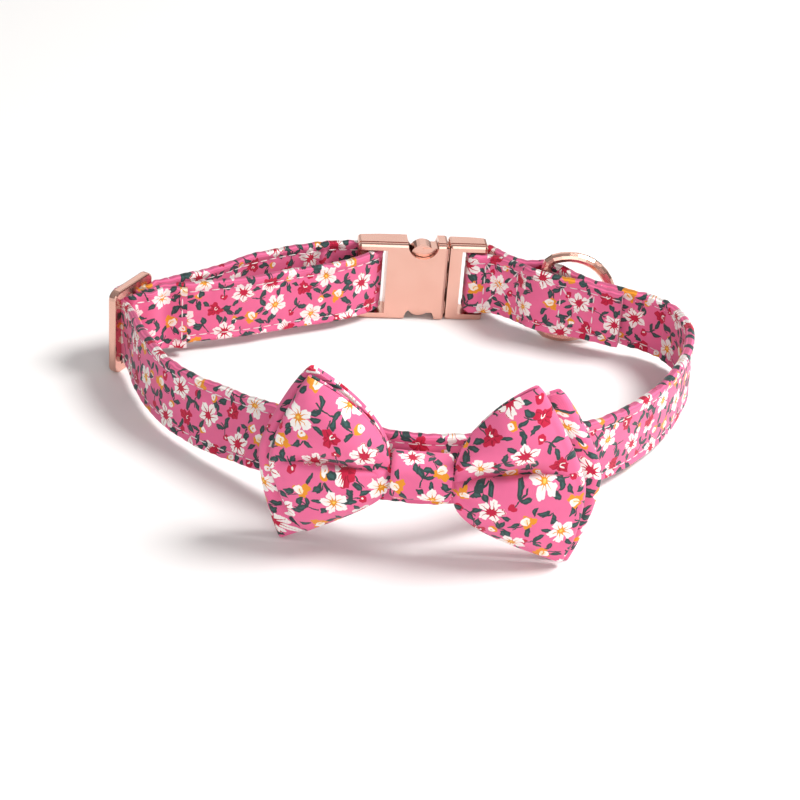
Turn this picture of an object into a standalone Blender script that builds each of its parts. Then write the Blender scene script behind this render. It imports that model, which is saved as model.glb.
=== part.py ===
"""Pet bow tie collar: a printed cloth strap with a double bow, a side-release buckle, a slider and a D-ring.

The collar stands on its edge on the floor. X runs to the right, Y from the bow to the buckle, Z up. Metres.
"""

import math

import bmesh
import bpy
from mathutils import Vector
from mathutils.geometry import interpolate_bezier

# Strap
STRAP_WIDTH = 0.0204
STRAP_THICK = 0.0024
STRAP_EDGE = 0.0006
PRESSED_THICK = 0.0014
LOOP_WIDTH = 0.170
LOOP_DEPTH = 0.130

# Clearances
TOUCH_GAP = 0.0003
SLOT_CLEAR = 0.0004
BUCKLE_SLOT_CLEAR = 0.0006
PLUG_CLEAR = 0.0003
HEM_LEAN_CLEAR = 0.0006
LOOP_EASE = 0.0003

# Buckle
BUCKLE_LENGTH = 0.0402
SOCKET_LENGTH = 0.0280
BUCKLE_ARM = 0.0021
SOCKET_THICK = 0.0086
PLUG_THICK = 0.0076
SOCKET_WALL = 0.0014
BUCKLE_BAR = 0.0033
BUCKLE_BAR_THICK = 0.0040
SLOT_LENGTH = 0.0058
PLUG_SLOT_LENGTH = 0.0046
THUMB_RADIUS = 0.0048
PRONG_WIDTH = 0.0042
BUTTON_RADIUS = 0.0039
GROOVE_WIDTH = 0.0007
GROOVE_SHARE = 0.17
BUCKLE_EDGE = 0.0009
BUCKLE_TAPER = 0.0016
BUCKLE_TURN = 6.5

# Slider
SLIDER_LENGTH = 0.0190
SLIDER_THICK = 0.0026
SLIDER_BAR = 0.0028
SLIDER_ARM = 0.0026
CENTRE_BAR = 0.0020
SLIDER_CORNER = 0.0024
SLIDER_TURN = 65.0

# D-ring
RING_WIRE = 0.0032
RING_HEIGHT = 0.0306
RING_DEPTH = 0.0240
RING_CORNER = 0.0022
RING_TURN = 3.0
RING_STRAP_TURN = -28.0

# Bow
BOW_CLOTH = 0.0014
BOW_HEIGHT = 0.0508
BOW_BULGE = 0.0026
BOW_BACK_BULGE = 0.0016
BOW_SWEEP = 0.0014
FOLD_RADIUS = 0.0017
KNOT_WIDTH = 0.0156
KNOT_HEIGHT = 0.0108
KNOT_DROP = 0.0026
KNOT_CLOTH = 0.0016
KNOT_CORNER = 0.0030

# Worked out from the sizes above
HALF_STRAP = STRAP_THICK / 2
HALF_PRESSED = PRESSED_THICK / 2
LAYER_STEP = STRAP_THICK + TOUCH_GAP
PRESSED_STEP = PRESSED_THICK + TOUCH_GAP
SLOT_HEIGHT = STRAP_WIDTH + 2 * SLOT_CLEAR
BUCKLE_SLOT_HEIGHT = STRAP_WIDTH + 2 * BUCKLE_SLOT_CLEAR
BUCKLE_HEIGHT = BUCKLE_SLOT_HEIGHT + 2 * BUCKLE_ARM
SLIDER_HEIGHT = SLOT_HEIGHT + 2 * SLIDER_ARM
RING_RADIUS = (RING_HEIGHT - RING_WIRE) / 2
RING_BAR_TO_CENTRE = RING_DEPTH - RING_WIRE - RING_RADIUS
BUCKLE_MID = BUCKLE_HEIGHT / 2
SLIDER_MID = SLIDER_HEIGHT / 2
RING_MID = RING_HEIGHT / 2

# Where the hard pieces sit: share of LOOP_WIDTH, share of LOOP_DEPTH
BUCKLE_AT = (0.0185, 0.586)
SLIDER_AT = (-0.474, 0.238)
RING_AT = (0.243, 0.502)
BOW_AT = (0.041, -0.385)

# The strap's middle line where it runs free. Columns: place across as a share of LOOP_WIDTH, place from
# front to back as a share of LOOP_DEPTH, height of its middle as a share of STRAP_WIDTH, lean of its top
# edge to the right of the way it runs in degrees.
TAIL_END = (
    (0.380, 0.424, 0.70, -8),
    (0.347, 0.437, 0.71, -8),
    (0.312, 0.451, 0.73, -6),
)
TAIL_TO_PLUG = (
    (0.200, 0.530, 0.685, -4),
    (0.165, 0.563, 0.66, -2),
)
RING_TO_BOW = (
    (0.425, 0.437, 0.66, 7),
    (0.470, 0.398, 0.61, 5),
    (0.491, 0.326, 0.59, 3),
    (0.489, 0.243, 0.57, 1),
    (0.476, 0.180, 0.56, 0),
    (0.435, 0.050, 0.56, 0),
    (0.383, -0.056, 0.57, 0),
    (0.326, -0.150, 0.64, 0),
    (0.262, -0.236, 0.76, 1),
    (0.206, -0.295, 0.88, 2),
    (0.141, -0.347, 0.98, 3),
    (0.085, -0.375, 1.03, 3),
)
BOW_TO_SLIDER = (
    (0.041, -0.385, 1.04, 3),
    (-0.006, -0.379, 1.03, 3),
    (-0.060, -0.357, 1.00, 4),
    (-0.118, -0.318, 0.92, 5),
    (-0.177, -0.267, 0.81, 6),
    (-0.221, -0.228, 0.745, 7),
    (-0.269, -0.181, 0.68, 8),
    (-0.312, -0.137, 0.64, 8),
    (-0.353, -0.091, 0.62, 6),
    (-0.390, -0.037, 0.62, 4),
    (-0.437, 0.073, 0.635, 3),
)
SLIDER_TO_SOCKET = (
    (-0.422, 0.313, 0.65, 1),
    (-0.385, 0.354, 0.64, 1),
    (-0.347, 0.395, 0.635, 1),
    (-0.285, 0.480, 0.63, 1),
    (-0.201, 0.556, 0.62, 1),
    (-0.148, 0.584, 0.63, 0),
)
SOCKET_TO_SLIDER = (
    (-0.108, 0.497, 0.63, 0),
    (-0.143, 0.466, 0.625, -1),
    (-0.196, 0.431, 0.62, -2),
    (-0.280, 0.366, 0.63, -3),
    (-0.345, 0.327, 0.64, -3),
    (-0.388, 0.303, 0.645, -2),
)

# Folds of the cloth's edge in the bow. One row a wing: its corners and its widest place measured from the
# bow's middle and its tip heights, as shares of BOW_HEIGHT, then how fast its edges flare above and below.
WINGS = {
    "front_left": dict(top=0.59, middle=0.76, bottom=0.57, up=0.485, down=0.412, flare_up=0.47, flare_down=0.66),
    "front_right": dict(top=0.53, middle=0.81, bottom=0.75, up=0.53, down=0.478, flare_up=0.46, flare_down=0.46),
    "back_left": dict(top=0.59, middle=0.82, bottom=0.70, up=0.50, down=0.512, flare_up=0.50, flare_down=0.60),
    "back_right": dict(top=0.645, middle=0.895, bottom=0.785, up=0.475, down=0.512, flare_up=0.50, flare_down=0.48),
}
WALL_SHARES = (-1, -0.001, 0.06, 0.15, 0.28, 0.44, 0.6, 0.76, 0.9, 1)
HEIGHT_SHARES = (-1, -0.86, -0.66, -0.42, -0.22, -0.1, -0.03, 0.04, 0.12, 0.26, 0.46, 0.68, 0.86, 1)
BOW_MIDDLE = 0.512
SPAN_STEP = 0.006
TURN_STEP = 16.0

# Colours as red, green, blue, then roughness and metallic
FINISHES = {
    "strap_print": ((0.80, 0.17, 0.36), 0.85, 0.0),
    "bow_print": ((0.80, 0.15, 0.34), 0.85, 0.0),
    "knot_print": ((0.80, 0.18, 0.36), 0.85, 0.0),
    "rose_gold": ((0.80, 0.52, 0.42), 0.32, 1.0),
}


def clear_scene():
    for obj in list(bpy.data.objects):
        bpy.data.objects.remove(obj, do_unlink=True)


def finish_of(name, key):
    colour, rough, metal = FINISHES[key]
    material = bpy.data.materials.new(name)
    material.use_nodes = True
    shader = material.node_tree.nodes["Principled BSDF"]
    shader.inputs["Base Color"].default_value = (*colour, 1)
    shader.inputs["Roughness"].default_value = rough
    shader.inputs["Metallic"].default_value = metal
    material.diffuse_color = (*colour, 1)
    return material


def add_object(name, data, finish, parent):
    obj = bpy.data.objects.new(name, data)
    bpy.context.scene.collection.objects.link(obj)
    data.materials.append(finish_of(name + "_finish", finish))
    obj.parent = parent
    return obj


def mesh_object(name, bm, finish, parent, smooth_angle=40):
    bm.normal_update()
    bmesh.ops.recalc_face_normals(bm, faces=bm.faces)
    mesh = bpy.data.meshes.new(name)
    bm.to_mesh(mesh)
    bm.free()
    mesh.shade_smooth()
    mesh.set_sharp_from_angle(angle=math.radians(smooth_angle))
    return add_object(name, mesh, finish, parent)


class Seat:
    """A place on the loop with its own direction: along runs along the strap, out away from the neck."""

    def __init__(self, at, turn, height):
        self.origin = Vector((at[0] * LOOP_WIDTH, at[1] * LOOP_DEPTH))
        angle = math.radians(turn)
        self.along = Vector((math.cos(angle), math.sin(angle)))
        self.out = Vector((-self.along.y, self.along.x))
        self.height = height
        self.angle = angle

    def point(self, along, out):
        return self.origin + self.along * along + self.out * out

    def row(self, along, out, lean=0, thick=STRAP_THICK):
        spot = self.point(along, out)
        return (spot.x, spot.y, self.height, lean, thick)

    def corner(self, along, out, radius, start, end, thick=STRAP_THICK, steps=3):
        """Rows of the strap round one edge of a bar, from one angle to the other in degrees."""
        rows = []
        for i in range(steps + 1):
            angle = math.radians(start + (end - start) * i / steps)
            rows.append(
                self.row(along + radius * math.cos(angle), out + radius * math.sin(angle), thick=thick)
            )
        return rows


BUCKLE = Seat(BUCKLE_AT, BUCKLE_TURN, BUCKLE_MID)
SLIDER = Seat(SLIDER_AT, SLIDER_TURN, SLIDER_MID)
RING = Seat(RING_AT, RING_STRAP_TURN, RING_MID)


def free_rows(table, thick=STRAP_THICK):
    return [(x * LOOP_WIDTH, y * LOOP_DEPTH, h * STRAP_WIDTH, lean, thick) for x, y, h, lean in table]


def turned_back(rows):
    """The same rows run the other way. A lean is told from the way a row runs, so it changes sign."""
    return [(x, y, height, -lean, thick) for x, y, height, lean, thick in reversed(rows)]


def beside(rows, side):
    """Rows of a layer that lies against this one: side is 1 on the left of the way it runs, -1 on the right."""
    moved = []
    for i, (x, y, height, lean, thick) in enumerate(rows):
        before, after = rows[max(i - 1, 0)], rows[min(i + 1, len(rows) - 1)]
        heading = Vector((after[0] - before[0], after[1] - before[1])).normalized()
        step = side * (thick + TOUCH_GAP + LOOP_EASE)
        moved.append((x - heading.y * step, y + heading.x * step, height, lean, thick))
    return moved


def round_plug_bar():
    bar_out = BUCKLE_BAR_THICK / 2
    bar_left = BUCKLE_LENGTH / 2 - BUCKLE_BAR
    round_edge = TOUCH_GAP + HALF_STRAP
    return [
        BUCKLE.row(BUCKLE_LENGTH / 2, -bar_out - round_edge),
        *BUCKLE.corner(bar_left, -bar_out, round_edge, 270, 180),
        *BUCKLE.corner(bar_left, bar_out, round_edge, 180, 90),
        *BUCKLE.corner(BUCKLE_LENGTH / 2, bar_out, round_edge + LOOP_EASE, 80, 30, steps=2),
    ]


# Where the strap leaves its fold round the socket's bar, in degrees from the way the buckle runs
SOCKET_LEAVE = -50


def round_socket_bar():
    bar_out = BUCKLE_BAR_THICK / 2
    bar_right = -BUCKLE_LENGTH / 2 + BUCKLE_BAR
    round_edge = TOUCH_GAP + HALF_STRAP
    return [
        BUCKLE.row(-BUCKLE_LENGTH / 2, bar_out + round_edge),
        *BUCKLE.corner(bar_right, 0, bar_out + round_edge, 90, SOCKET_LEAVE, steps=7),
    ]


def past_ring_bar(side):
    """The strap beside the D-ring's bar, run from the plug: side is 1 outside it and -1 inside it."""
    offset = side * (RING_WIRE / 2 + TOUCH_GAP + HEM_LEAN_CLEAR + HALF_STRAP)
    return [RING.row(along, offset, 2) for along in (-0.6 * RING_WIRE, 0.6 * RING_WIRE)]


# In the slider the strap is pressed thinner. Its places there come from the bars that it passes.
BAR_PITCH = (SLIDER_LENGTH - SLIDER_BAR) / 2
UNDER_BAR = -(SLIDER_THICK / 2 + TOUCH_GAP + HALF_PRESSED)
BEND = TOUCH_GAP + HALF_PRESSED
SEWN_ROWS = 4
SLIDER_ENTER = 322


def weave_main():
    """The long layer: under the front bar, over the centre bar and the sewn loop on it, under the back bar."""
    half = CENTRE_BAR / 2
    inside = BAR_PITCH - SLIDER_BAR / 2
    over_loop = BEND + PRESSED_STEP + LOOP_EASE
    return [
        *SLIDER.corner(-inside, -SLIDER_THICK / 2, BEND, SLIDER_ENTER, 360, PRESSED_THICK, steps=2),
        *SLIDER.corner(-half, SLIDER_THICK / 2, over_loop, 180, 90, PRESSED_THICK),
        *SLIDER.corner(half, SLIDER_THICK / 2, over_loop, 90, 0, PRESSED_THICK),
        *SLIDER.corner(inside, -SLIDER_THICK / 2, BEND, 180, 270, PRESSED_THICK),
        SLIDER.row(BAR_PITCH + 0.6 * SLIDER_BAR, UNDER_BAR, 0, PRESSED_THICK),
    ]


def adjusting_layer():
    """The inner layer as it comes from the buckle and goes out through the slider's back window."""
    into_window = [
        SLIDER.row(BAR_PITCH + 0.2 * SLIDER_BAR, UNDER_BAR - 1.6 * PRESSED_STEP, 0, PRESSED_THICK),
        SLIDER.row(BAR_PITCH / 2, UNDER_BAR - 0.8 * PRESSED_STEP, 0, PRESSED_THICK),
        SLIDER.row(CENTRE_BAR / 2 + BEND + TOUCH_GAP, -SLIDER_THICK / 2, 0, PRESSED_THICK),
    ]
    return free_rows(SOCKET_TO_SLIDER) + into_window


def round_centre_bar():
    half = CENTRE_BAR / 2
    return [
        *SLIDER.corner(half, SLIDER_THICK / 2, BEND, 0, 90, PRESSED_THICK),
        *SLIDER.corner(-half, SLIDER_THICK / 2, BEND, 90, 180, PRESSED_THICK),
        *SLIDER.corner(-half, -SLIDER_THICK / 2, BEND, 180, 270, PRESSED_THICK),
    ]


def strap_route():
    to_plug = free_rows(TAIL_END)
    near_plug = free_rows(TAIL_TO_PLUG)
    adjusting = adjusting_layer()
    sewn_end = turned_back(beside(adjusting, 1))[1:SEWN_ROWS]
    return (
        to_plug
        + turned_back(past_ring_bar(-1))
        + near_plug
        + round_plug_bar()
        + turned_back(beside(near_plug, -1))
        + past_ring_bar(1)
        + turned_back(beside(to_plug, -1))
        + free_rows(RING_TO_BOW)
        + free_rows(BOW_TO_SLIDER)
        + weave_main()
        + free_rows(SLIDER_TO_SOCKET)
        + round_socket_bar()
        + adjusting
        + round_centre_bar()
        + sewn_end
    )


def smooth_rows(rows):
    """A smooth curve through the rows, with more places where it turns."""
    places = [Vector(row[:2]) for row in rows]
    last = len(rows) - 1
    heads = []
    for i in range(len(rows)):
        before, here, after = places[max(i - 1, 0)], places[i], places[min(i + 1, last)]
        back = max((here - before).length, 1e-9)
        ahead = max((after - here).length, 1e-9)
        heads.append(((here - before) / back * ahead + (after - here) / ahead * back).normalized())
    found = []
    for i in range(last):
        span = (places[i + 1] - places[i]).length
        turn = math.degrees(heads[i].angle(heads[i + 1]))
        steps = max(1, math.ceil(span / SPAN_STEP), math.ceil(turn / TURN_STEP))
        handle = span / 3
        curve = interpolate_bezier(
            places[i], places[i] + heads[i] * handle, places[i + 1] - heads[i + 1] * handle, places[i + 1], steps + 1
        )
        for step in range(steps):
            share = step / steps
            rest = [a + (b - a) * share for a, b in zip(rows[i][2:], rows[i + 1][2:])]
            found.append((Vector(curve[step][:2]), *rest))
    found.append((places[last], *rows[last][2:]))
    return found


def band_section(place, heading, height, lean, thick):
    """Eight corners of the strap's section, its thin side across the heading."""
    out = Vector((-heading.y, heading.x, 0))
    tilt = math.radians(lean)
    up = Vector((0, 0, math.cos(tilt))) - out * math.sin(tilt)
    across = out * math.cos(tilt) + Vector((0, 0, math.sin(tilt)))
    middle = Vector((place.x, place.y, height))
    flat, tall = thick / 2, STRAP_WIDTH / 2
    corners = (
        (flat, -tall + STRAP_EDGE), (flat, tall - STRAP_EDGE), (flat - STRAP_EDGE, tall), (STRAP_EDGE - flat, tall),
        (-flat, tall - STRAP_EDGE), (-flat, STRAP_EDGE - tall), (STRAP_EDGE - flat, -tall), (flat - STRAP_EDGE, -tall),
    )
    return [middle + across * a + up * b for a, b in corners]


def bridge(bm, rings, closed):
    """Faces between neighbouring rings of points, with end caps on an open run."""
    loops = [[bm.verts.new(point) for point in ring] for ring in rings]
    count = len(rings[0])
    pairs = list(zip(loops, loops[1:] + loops[:1])) if closed else list(zip(loops, loops[1:]))
    for first, second in pairs:
        for i in range(count):
            j = (i + 1) % count
            bm.faces.new((first[i], first[j], second[j], second[i]))
    if not closed:
        bm.faces.new(loops[0][::-1])
        bm.faces.new(loops[-1])


def make_strap(parent):
    rows = smooth_rows(strap_route())
    rings = []
    for i, (place, height, lean, thick) in enumerate(rows):
        heading = (rows[min(i + 1, len(rows) - 1)][0] - rows[max(i - 1, 0)][0]).normalized()
        rings.append(band_section(place, heading, height, lean, thick))
    bm = bmesh.new()
    bridge(bm, rings, closed=False)
    return mesh_object("strap", bm, "strap_print", parent, 50)


def add_box(bm, low, high):
    made = bmesh.ops.create_cube(bm, size=1)
    for vert in made["verts"]:
        for axis in range(3):
            vert.co[axis] = low[axis] if vert.co[axis] < 0 else high[axis]
    return made["verts"]


def cutter_object(name, bm, parent):
    bm.normal_update()
    bmesh.ops.recalc_face_normals(bm, faces=bm.faces)
    mesh = bpy.data.meshes.new(name)
    bm.to_mesh(mesh)
    bm.free()
    obj = bpy.data.objects.new(name, mesh)
    bpy.context.scene.collection.objects.link(obj)
    obj.parent = parent
    obj.hide_render = True
    obj.display_type = "WIRE"
    return obj


def join_with(obj, other, operation):
    step = obj.modifiers.new(other.name, "BOOLEAN")
    step.operation = operation
    step.object = other


def box_piece(name, low, high, parent, rounding=0):
    bm = bmesh.new()
    add_box(bm, low, high)
    if rounding:
        bmesh.ops.bevel(
            bm, geom=bm.edges[:], offset=rounding, affect="EDGES", segments=2, profile=0.5, material=-1
        )
    return cutter_object(name, bm, parent)


def cut_taper(obj, name, start, end, half, parent):
    """Slopes the outer face down from half at start by BUCKLE_TAPER at end, as a curved buckle's ends do."""
    slope = BUCKLE_TAPER / abs(end - start)
    past = BUCKLE_TAPER
    way = math.copysign(1, end - start)
    high_x, low_x = start - way * past, end + way * past
    bm = bmesh.new()
    low, high = sorted((high_x, low_x))
    verts = add_box(bm, (low, half, -BUCKLE_HEIGHT), (high, half + 2 * SOCKET_THICK, BUCKLE_HEIGHT))
    for vert in verts:
        if vert.co.y < half + SOCKET_THICK:
            vert.co.y = half - slope * (vert.co.x - start) * way
    join_with(obj, cutter_object(name, bm, parent), "DIFFERENCE")


def cut_box(obj, name, low, high, parent, rounding=0):
    join_with(obj, box_piece(name, low, high, parent, rounding), "DIFFERENCE")


def disc_cutter(name, radius, along, height, depth, parent, sides=28):
    """A round bar along Y, to cut or add a half-round form in a top or bottom edge."""
    bm = bmesh.new()
    made = bmesh.ops.create_cone(
        bm, cap_ends=True, segments=sides, radius1=radius, radius2=radius, depth=depth
    )
    for vert in made["verts"]:
        vert.co = Vector((along + vert.co.x, vert.co.z, height + vert.co.y))
    return cutter_object(name, bm, parent)


def rounded_block(name, low, high, rounding, finish, parent):
    bm = bmesh.new()
    add_box(bm, low, high)
    bmesh.ops.bevel(
        bm, geom=bm.edges[:], offset=rounding, affect="EDGES", segments=2, profile=0.5, material=-1
    )
    return mesh_object(name, bm, finish, parent)


def seat_empty(name, seat, parent):
    empty = bpy.data.objects.new(name, None)
    bpy.context.scene.collection.objects.link(empty)
    empty.parent = parent
    empty.location = (seat.origin.x, seat.origin.y, seat.height)
    empty.rotation_euler = (0, 0, seat.angle)
    return empty


# The buckle's places along its own length, from its middle
SOCKET_END = -BUCKLE_LENGTH / 2
SEAM = SOCKET_END + SOCKET_LENGTH
PLUG_FACE = SEAM + TOUCH_GAP
SOCKET_SLOT_START = SOCKET_END + BUCKLE_BAR
SOCKET_SLOT_END = SOCKET_SLOT_START + SLOT_LENGTH
POCKET_END = SOCKET_SLOT_END + SOCKET_WALL
PLUG_SLOT_END = BUCKLE_LENGTH / 2 - BUCKLE_BAR
PLUG_SLOT_START = PLUG_SLOT_END - PLUG_SLOT_LENGTH
HALF_TALL = BUCKLE_HEIGHT / 2
POCKET_TALL = HALF_TALL - SOCKET_WALL
POCKET_THICK = SOCKET_THICK - 2 * SOCKET_WALL
THUMB_ALONG = SEAM - THUMB_RADIUS - 2.2 * SOCKET_WALL
BUTTON_ALONG = THUMB_ALONG
BUTTON_MID = HALF_TALL - 0.5 * SOCKET_WALL - BUTTON_RADIUS


def make_socket(parent):
    half = SOCKET_THICK / 2
    socket = rounded_block(
        "buckle_socket", (SOCKET_END, -half, -HALF_TALL), (SEAM, half, HALF_TALL), BUCKLE_EDGE, "rose_gold", parent
    )
    past = SOCKET_THICK
    cut_box(
        socket, "socket_pocket", (POCKET_END, -POCKET_THICK / 2, -POCKET_TALL),
        (SEAM + past, POCKET_THICK / 2, POCKET_TALL), parent,
    )
    cut_box(
        socket, "socket_slot", (SOCKET_SLOT_START, -past, -BUCKLE_SLOT_HEIGHT / 2),
        (SOCKET_SLOT_END, past, BUCKLE_SLOT_HEIGHT / 2), parent,
    )
    bar_half = BUCKLE_BAR_THICK / 2
    for side in (-1, 1):
        low, high = sorted((side * bar_half, side * past))
        cut_box(
            socket, f"socket_bar_{'outer' if side > 0 else 'inner'}", (SOCKET_END - past, low, -BUCKLE_SLOT_HEIGHT / 2),
            (SOCKET_SLOT_START + TOUCH_GAP, high, BUCKLE_SLOT_HEIGHT / 2), parent,
        )
        edge = "top" if side > 0 else "bottom"
        join_with(
            socket, disc_cutter(f"socket_thumb_{edge}", THUMB_RADIUS, THUMB_ALONG, side * HALF_TALL, 3 * past, parent),
            "DIFFERENCE",
        )
        low, high = sorted((side * (HALF_TALL - GROOVE_WIDTH), side * (HALF_TALL + past)))
        groove = -half + GROOVE_SHARE * SOCKET_THICK
        cut_box(
            socket, f"socket_groove_{edge}", (SOCKET_END - past, groove, low), (SEAM + past, groove + GROOVE_WIDTH, high),
            parent,
        )
    cut_taper(socket, "socket_taper", THUMB_ALONG - THUMB_RADIUS, SOCKET_END, half, parent)
    return socket


def make_plug(parent):
    half = PLUG_THICK / 2
    plug = rounded_block(
        "buckle_plug", (PLUG_FACE, -half, -HALF_TALL), (BUCKLE_LENGTH / 2, half, HALF_TALL), BUCKLE_EDGE, "rose_gold",
        parent,
    )
    past = PLUG_THICK
    prong_half = POCKET_THICK / 2 - PLUG_CLEAR
    prong_out = POCKET_TALL - PLUG_CLEAR
    prong_tip = POCKET_END + 2 * PLUG_CLEAR
    root = PLUG_FACE + 2 * BUCKLE_EDGE
    for side in (-1, 1):
        edge = "top" if side > 0 else "bottom"
        low, high = sorted((side * (prong_out - PRONG_WIDTH), side * prong_out))
        join_with(plug, box_piece(f"plug_prong_{edge}", (BUTTON_ALONG, -prong_half, low), (root, prong_half, high), parent), "UNION")
        join_with(
            plug, disc_cutter(f"plug_button_{edge}", BUTTON_RADIUS, BUTTON_ALONG, side * BUTTON_MID, 2 * prong_half - PLUG_CLEAR, parent, 24),
            "UNION",
        )
    guide = 0.6 * PRONG_WIDTH
    join_with(plug, box_piece("plug_guide", (prong_tip, -prong_half * 0.8, -guide), (root, prong_half * 0.8, guide), parent), "UNION")
    cut_box(
        plug, "plug_slot", (PLUG_SLOT_START, -past, -BUCKLE_SLOT_HEIGHT / 2), (PLUG_SLOT_END, past, BUCKLE_SLOT_HEIGHT / 2), parent,
    )
    bar_half = BUCKLE_BAR_THICK / 2
    for side in (-1, 1):
        low, high = sorted((side * bar_half, side * past))
        cut_box(
            plug, f"plug_bar_{'outer' if side > 0 else 'inner'}", (PLUG_SLOT_END - TOUCH_GAP, low, -BUCKLE_SLOT_HEIGHT / 2),
            (BUCKLE_LENGTH / 2 + past, high, BUCKLE_SLOT_HEIGHT / 2), parent,
        )
        edge = "top" if side > 0 else "bottom"
        low, high = sorted((side * (HALF_TALL - GROOVE_WIDTH), side * (HALF_TALL + past)))
        groove = -half + GROOVE_SHARE * SOCKET_THICK
        cut_box(
            plug, f"plug_groove_{edge}", (PLUG_FACE - past, groove, low),
            (BUCKLE_LENGTH / 2 + past, groove + GROOVE_WIDTH, high), parent,
        )
    cut_taper(plug, "plug_taper", PLUG_FACE, BUCKLE_LENGTH / 2, half, parent)
    return plug


def rounded_outline(width, height, radius, steps=4):
    """Corners of a rounded rectangle about the origin, as pairs."""
    points = []
    for turn, (sx, sz) in enumerate(((1, 1), (-1, 1), (-1, -1), (1, -1))):
        for i in range(steps + 1):
            angle = math.radians(90 * turn + 90 * i / steps)
            points.append(
                (sx * (width / 2 - radius) + radius * math.cos(angle), sz * (height / 2 - radius) + radius * math.sin(angle))
            )
    return points


def make_slider(parent):
    bm = bmesh.new()
    half = SLIDER_THICK / 2
    face = bm.faces.new([bm.verts.new((x, -half, z)) for x, z in rounded_outline(SLIDER_LENGTH, SLIDER_HEIGHT, SLIDER_CORNER)])
    made = bmesh.ops.extrude_face_region(bm, geom=[face])
    top = [v for v in made["geom"] if isinstance(v, bmesh.types.BMVert)]
    bmesh.ops.translate(bm, verts=top, vec=(0, SLIDER_THICK, 0))
    rim = [edge for edge in bm.edges if abs(edge.verts[0].co.y - edge.verts[1].co.y) < half]
    bmesh.ops.bevel(bm, geom=rim, offset=SLIDER_THICK / 5, affect="EDGES", segments=2, profile=0.5, material=-1)
    slider = mesh_object("slider", bm, "rose_gold", parent)
    inside = BAR_PITCH - SLIDER_BAR / 2
    for name, low, high in (("front", -inside, -CENTRE_BAR / 2), ("back", CENTRE_BAR / 2, inside)):
        cut_box(
            slider, f"slider_window_{name}", (low, -SLIDER_THICK, -SLOT_HEIGHT / 2), (high, SLIDER_THICK, SLOT_HEIGHT / 2),
            parent,
        )
    return slider


def ring_path():
    """The wire's middle line in the ring's own plane, x away from the bar and z up, the bar on x = 0."""
    reach = math.acos(-RING_BAR_TO_CENTRE / RING_RADIUS)
    bar_half = RING_RADIUS * math.sin(reach)
    trim = RING_CORNER / RING_RADIUS
    steps = 22
    points = []
    for i in range(steps + 1):
        angle = -(reach - trim) + 2 * (reach - trim) * i / steps
        points.append((RING_BAR_TO_CENTRE + RING_RADIUS * math.cos(angle), RING_RADIUS * math.sin(angle)))
    corner = Vector((0, bar_half))
    bar_top = (0, bar_half - RING_CORNER)
    mid = corner * 0.5 + (Vector(points[-1]) + Vector(bar_top)) * 0.25
    points += [tuple(mid), bar_top]
    points += [(0, -bar_half + RING_CORNER), (mid.x, -mid.y)]
    return points


def make_ring(parent):
    curve = bpy.data.curves.new("d_ring", "CURVE")
    curve.dimensions = "3D"
    curve.bevel_depth = RING_WIRE / 2
    curve.bevel_resolution = 3
    spline = curve.splines.new("POLY")
    points = ring_path()
    spline.points.add(len(points) - 1)
    for spot, (x, z) in zip(spline.points, points):
        spot.co = (x, 0, z, 1)
    spline.use_cyclic_u = True
    spline.use_smooth = True
    ring = add_object("d_ring", curve, "rose_gold", parent)
    ring.location = (RING.origin.x, RING.origin.y, RING.height)
    ring.rotation_euler = (0, 0, math.radians(RING_TURN))
    return ring


# The bow's layers in depth, from the strap's face forwards
BOW_X = BOW_AT[0] * LOOP_WIDTH
BOW_Z = BOW_MIDDLE * BOW_HEIGHT
PINCH = BOW_CLOTH / 2 + 0.5 * TOUCH_GAP
KNOT_BACK = BOW_AT[1] * LOOP_DEPTH - HALF_STRAP - 2 * TOUCH_GAP
BACK_BOW_Y = KNOT_BACK - KNOT_CLOTH - TOUCH_GAP - PINCH - BOW_CLOTH / 2
FRONT_BOW_Y = BACK_BOW_Y - 2 * PINCH - BOW_CLOTH - TOUCH_GAP
KNOT_FRONT = FRONT_BOW_Y - PINCH - BOW_CLOTH / 2 - TOUCH_GAP - KNOT_CLOTH
PINCHED_HALF = KNOT_HEIGHT / 2 - KNOT_CLOTH - 3 * TOUCH_GAP
KNOT_EDGE = KNOT_WIDTH / 2 + 2 * TOUCH_GAP


def fold_radius(height_share):
    """The fold at a wing's end is round along its length and pressed flat at its two tips."""
    return PINCH + (FOLD_RADIUS - PINCH) * min(1, 3.2 * (1.06 - abs(height_share)))


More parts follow.
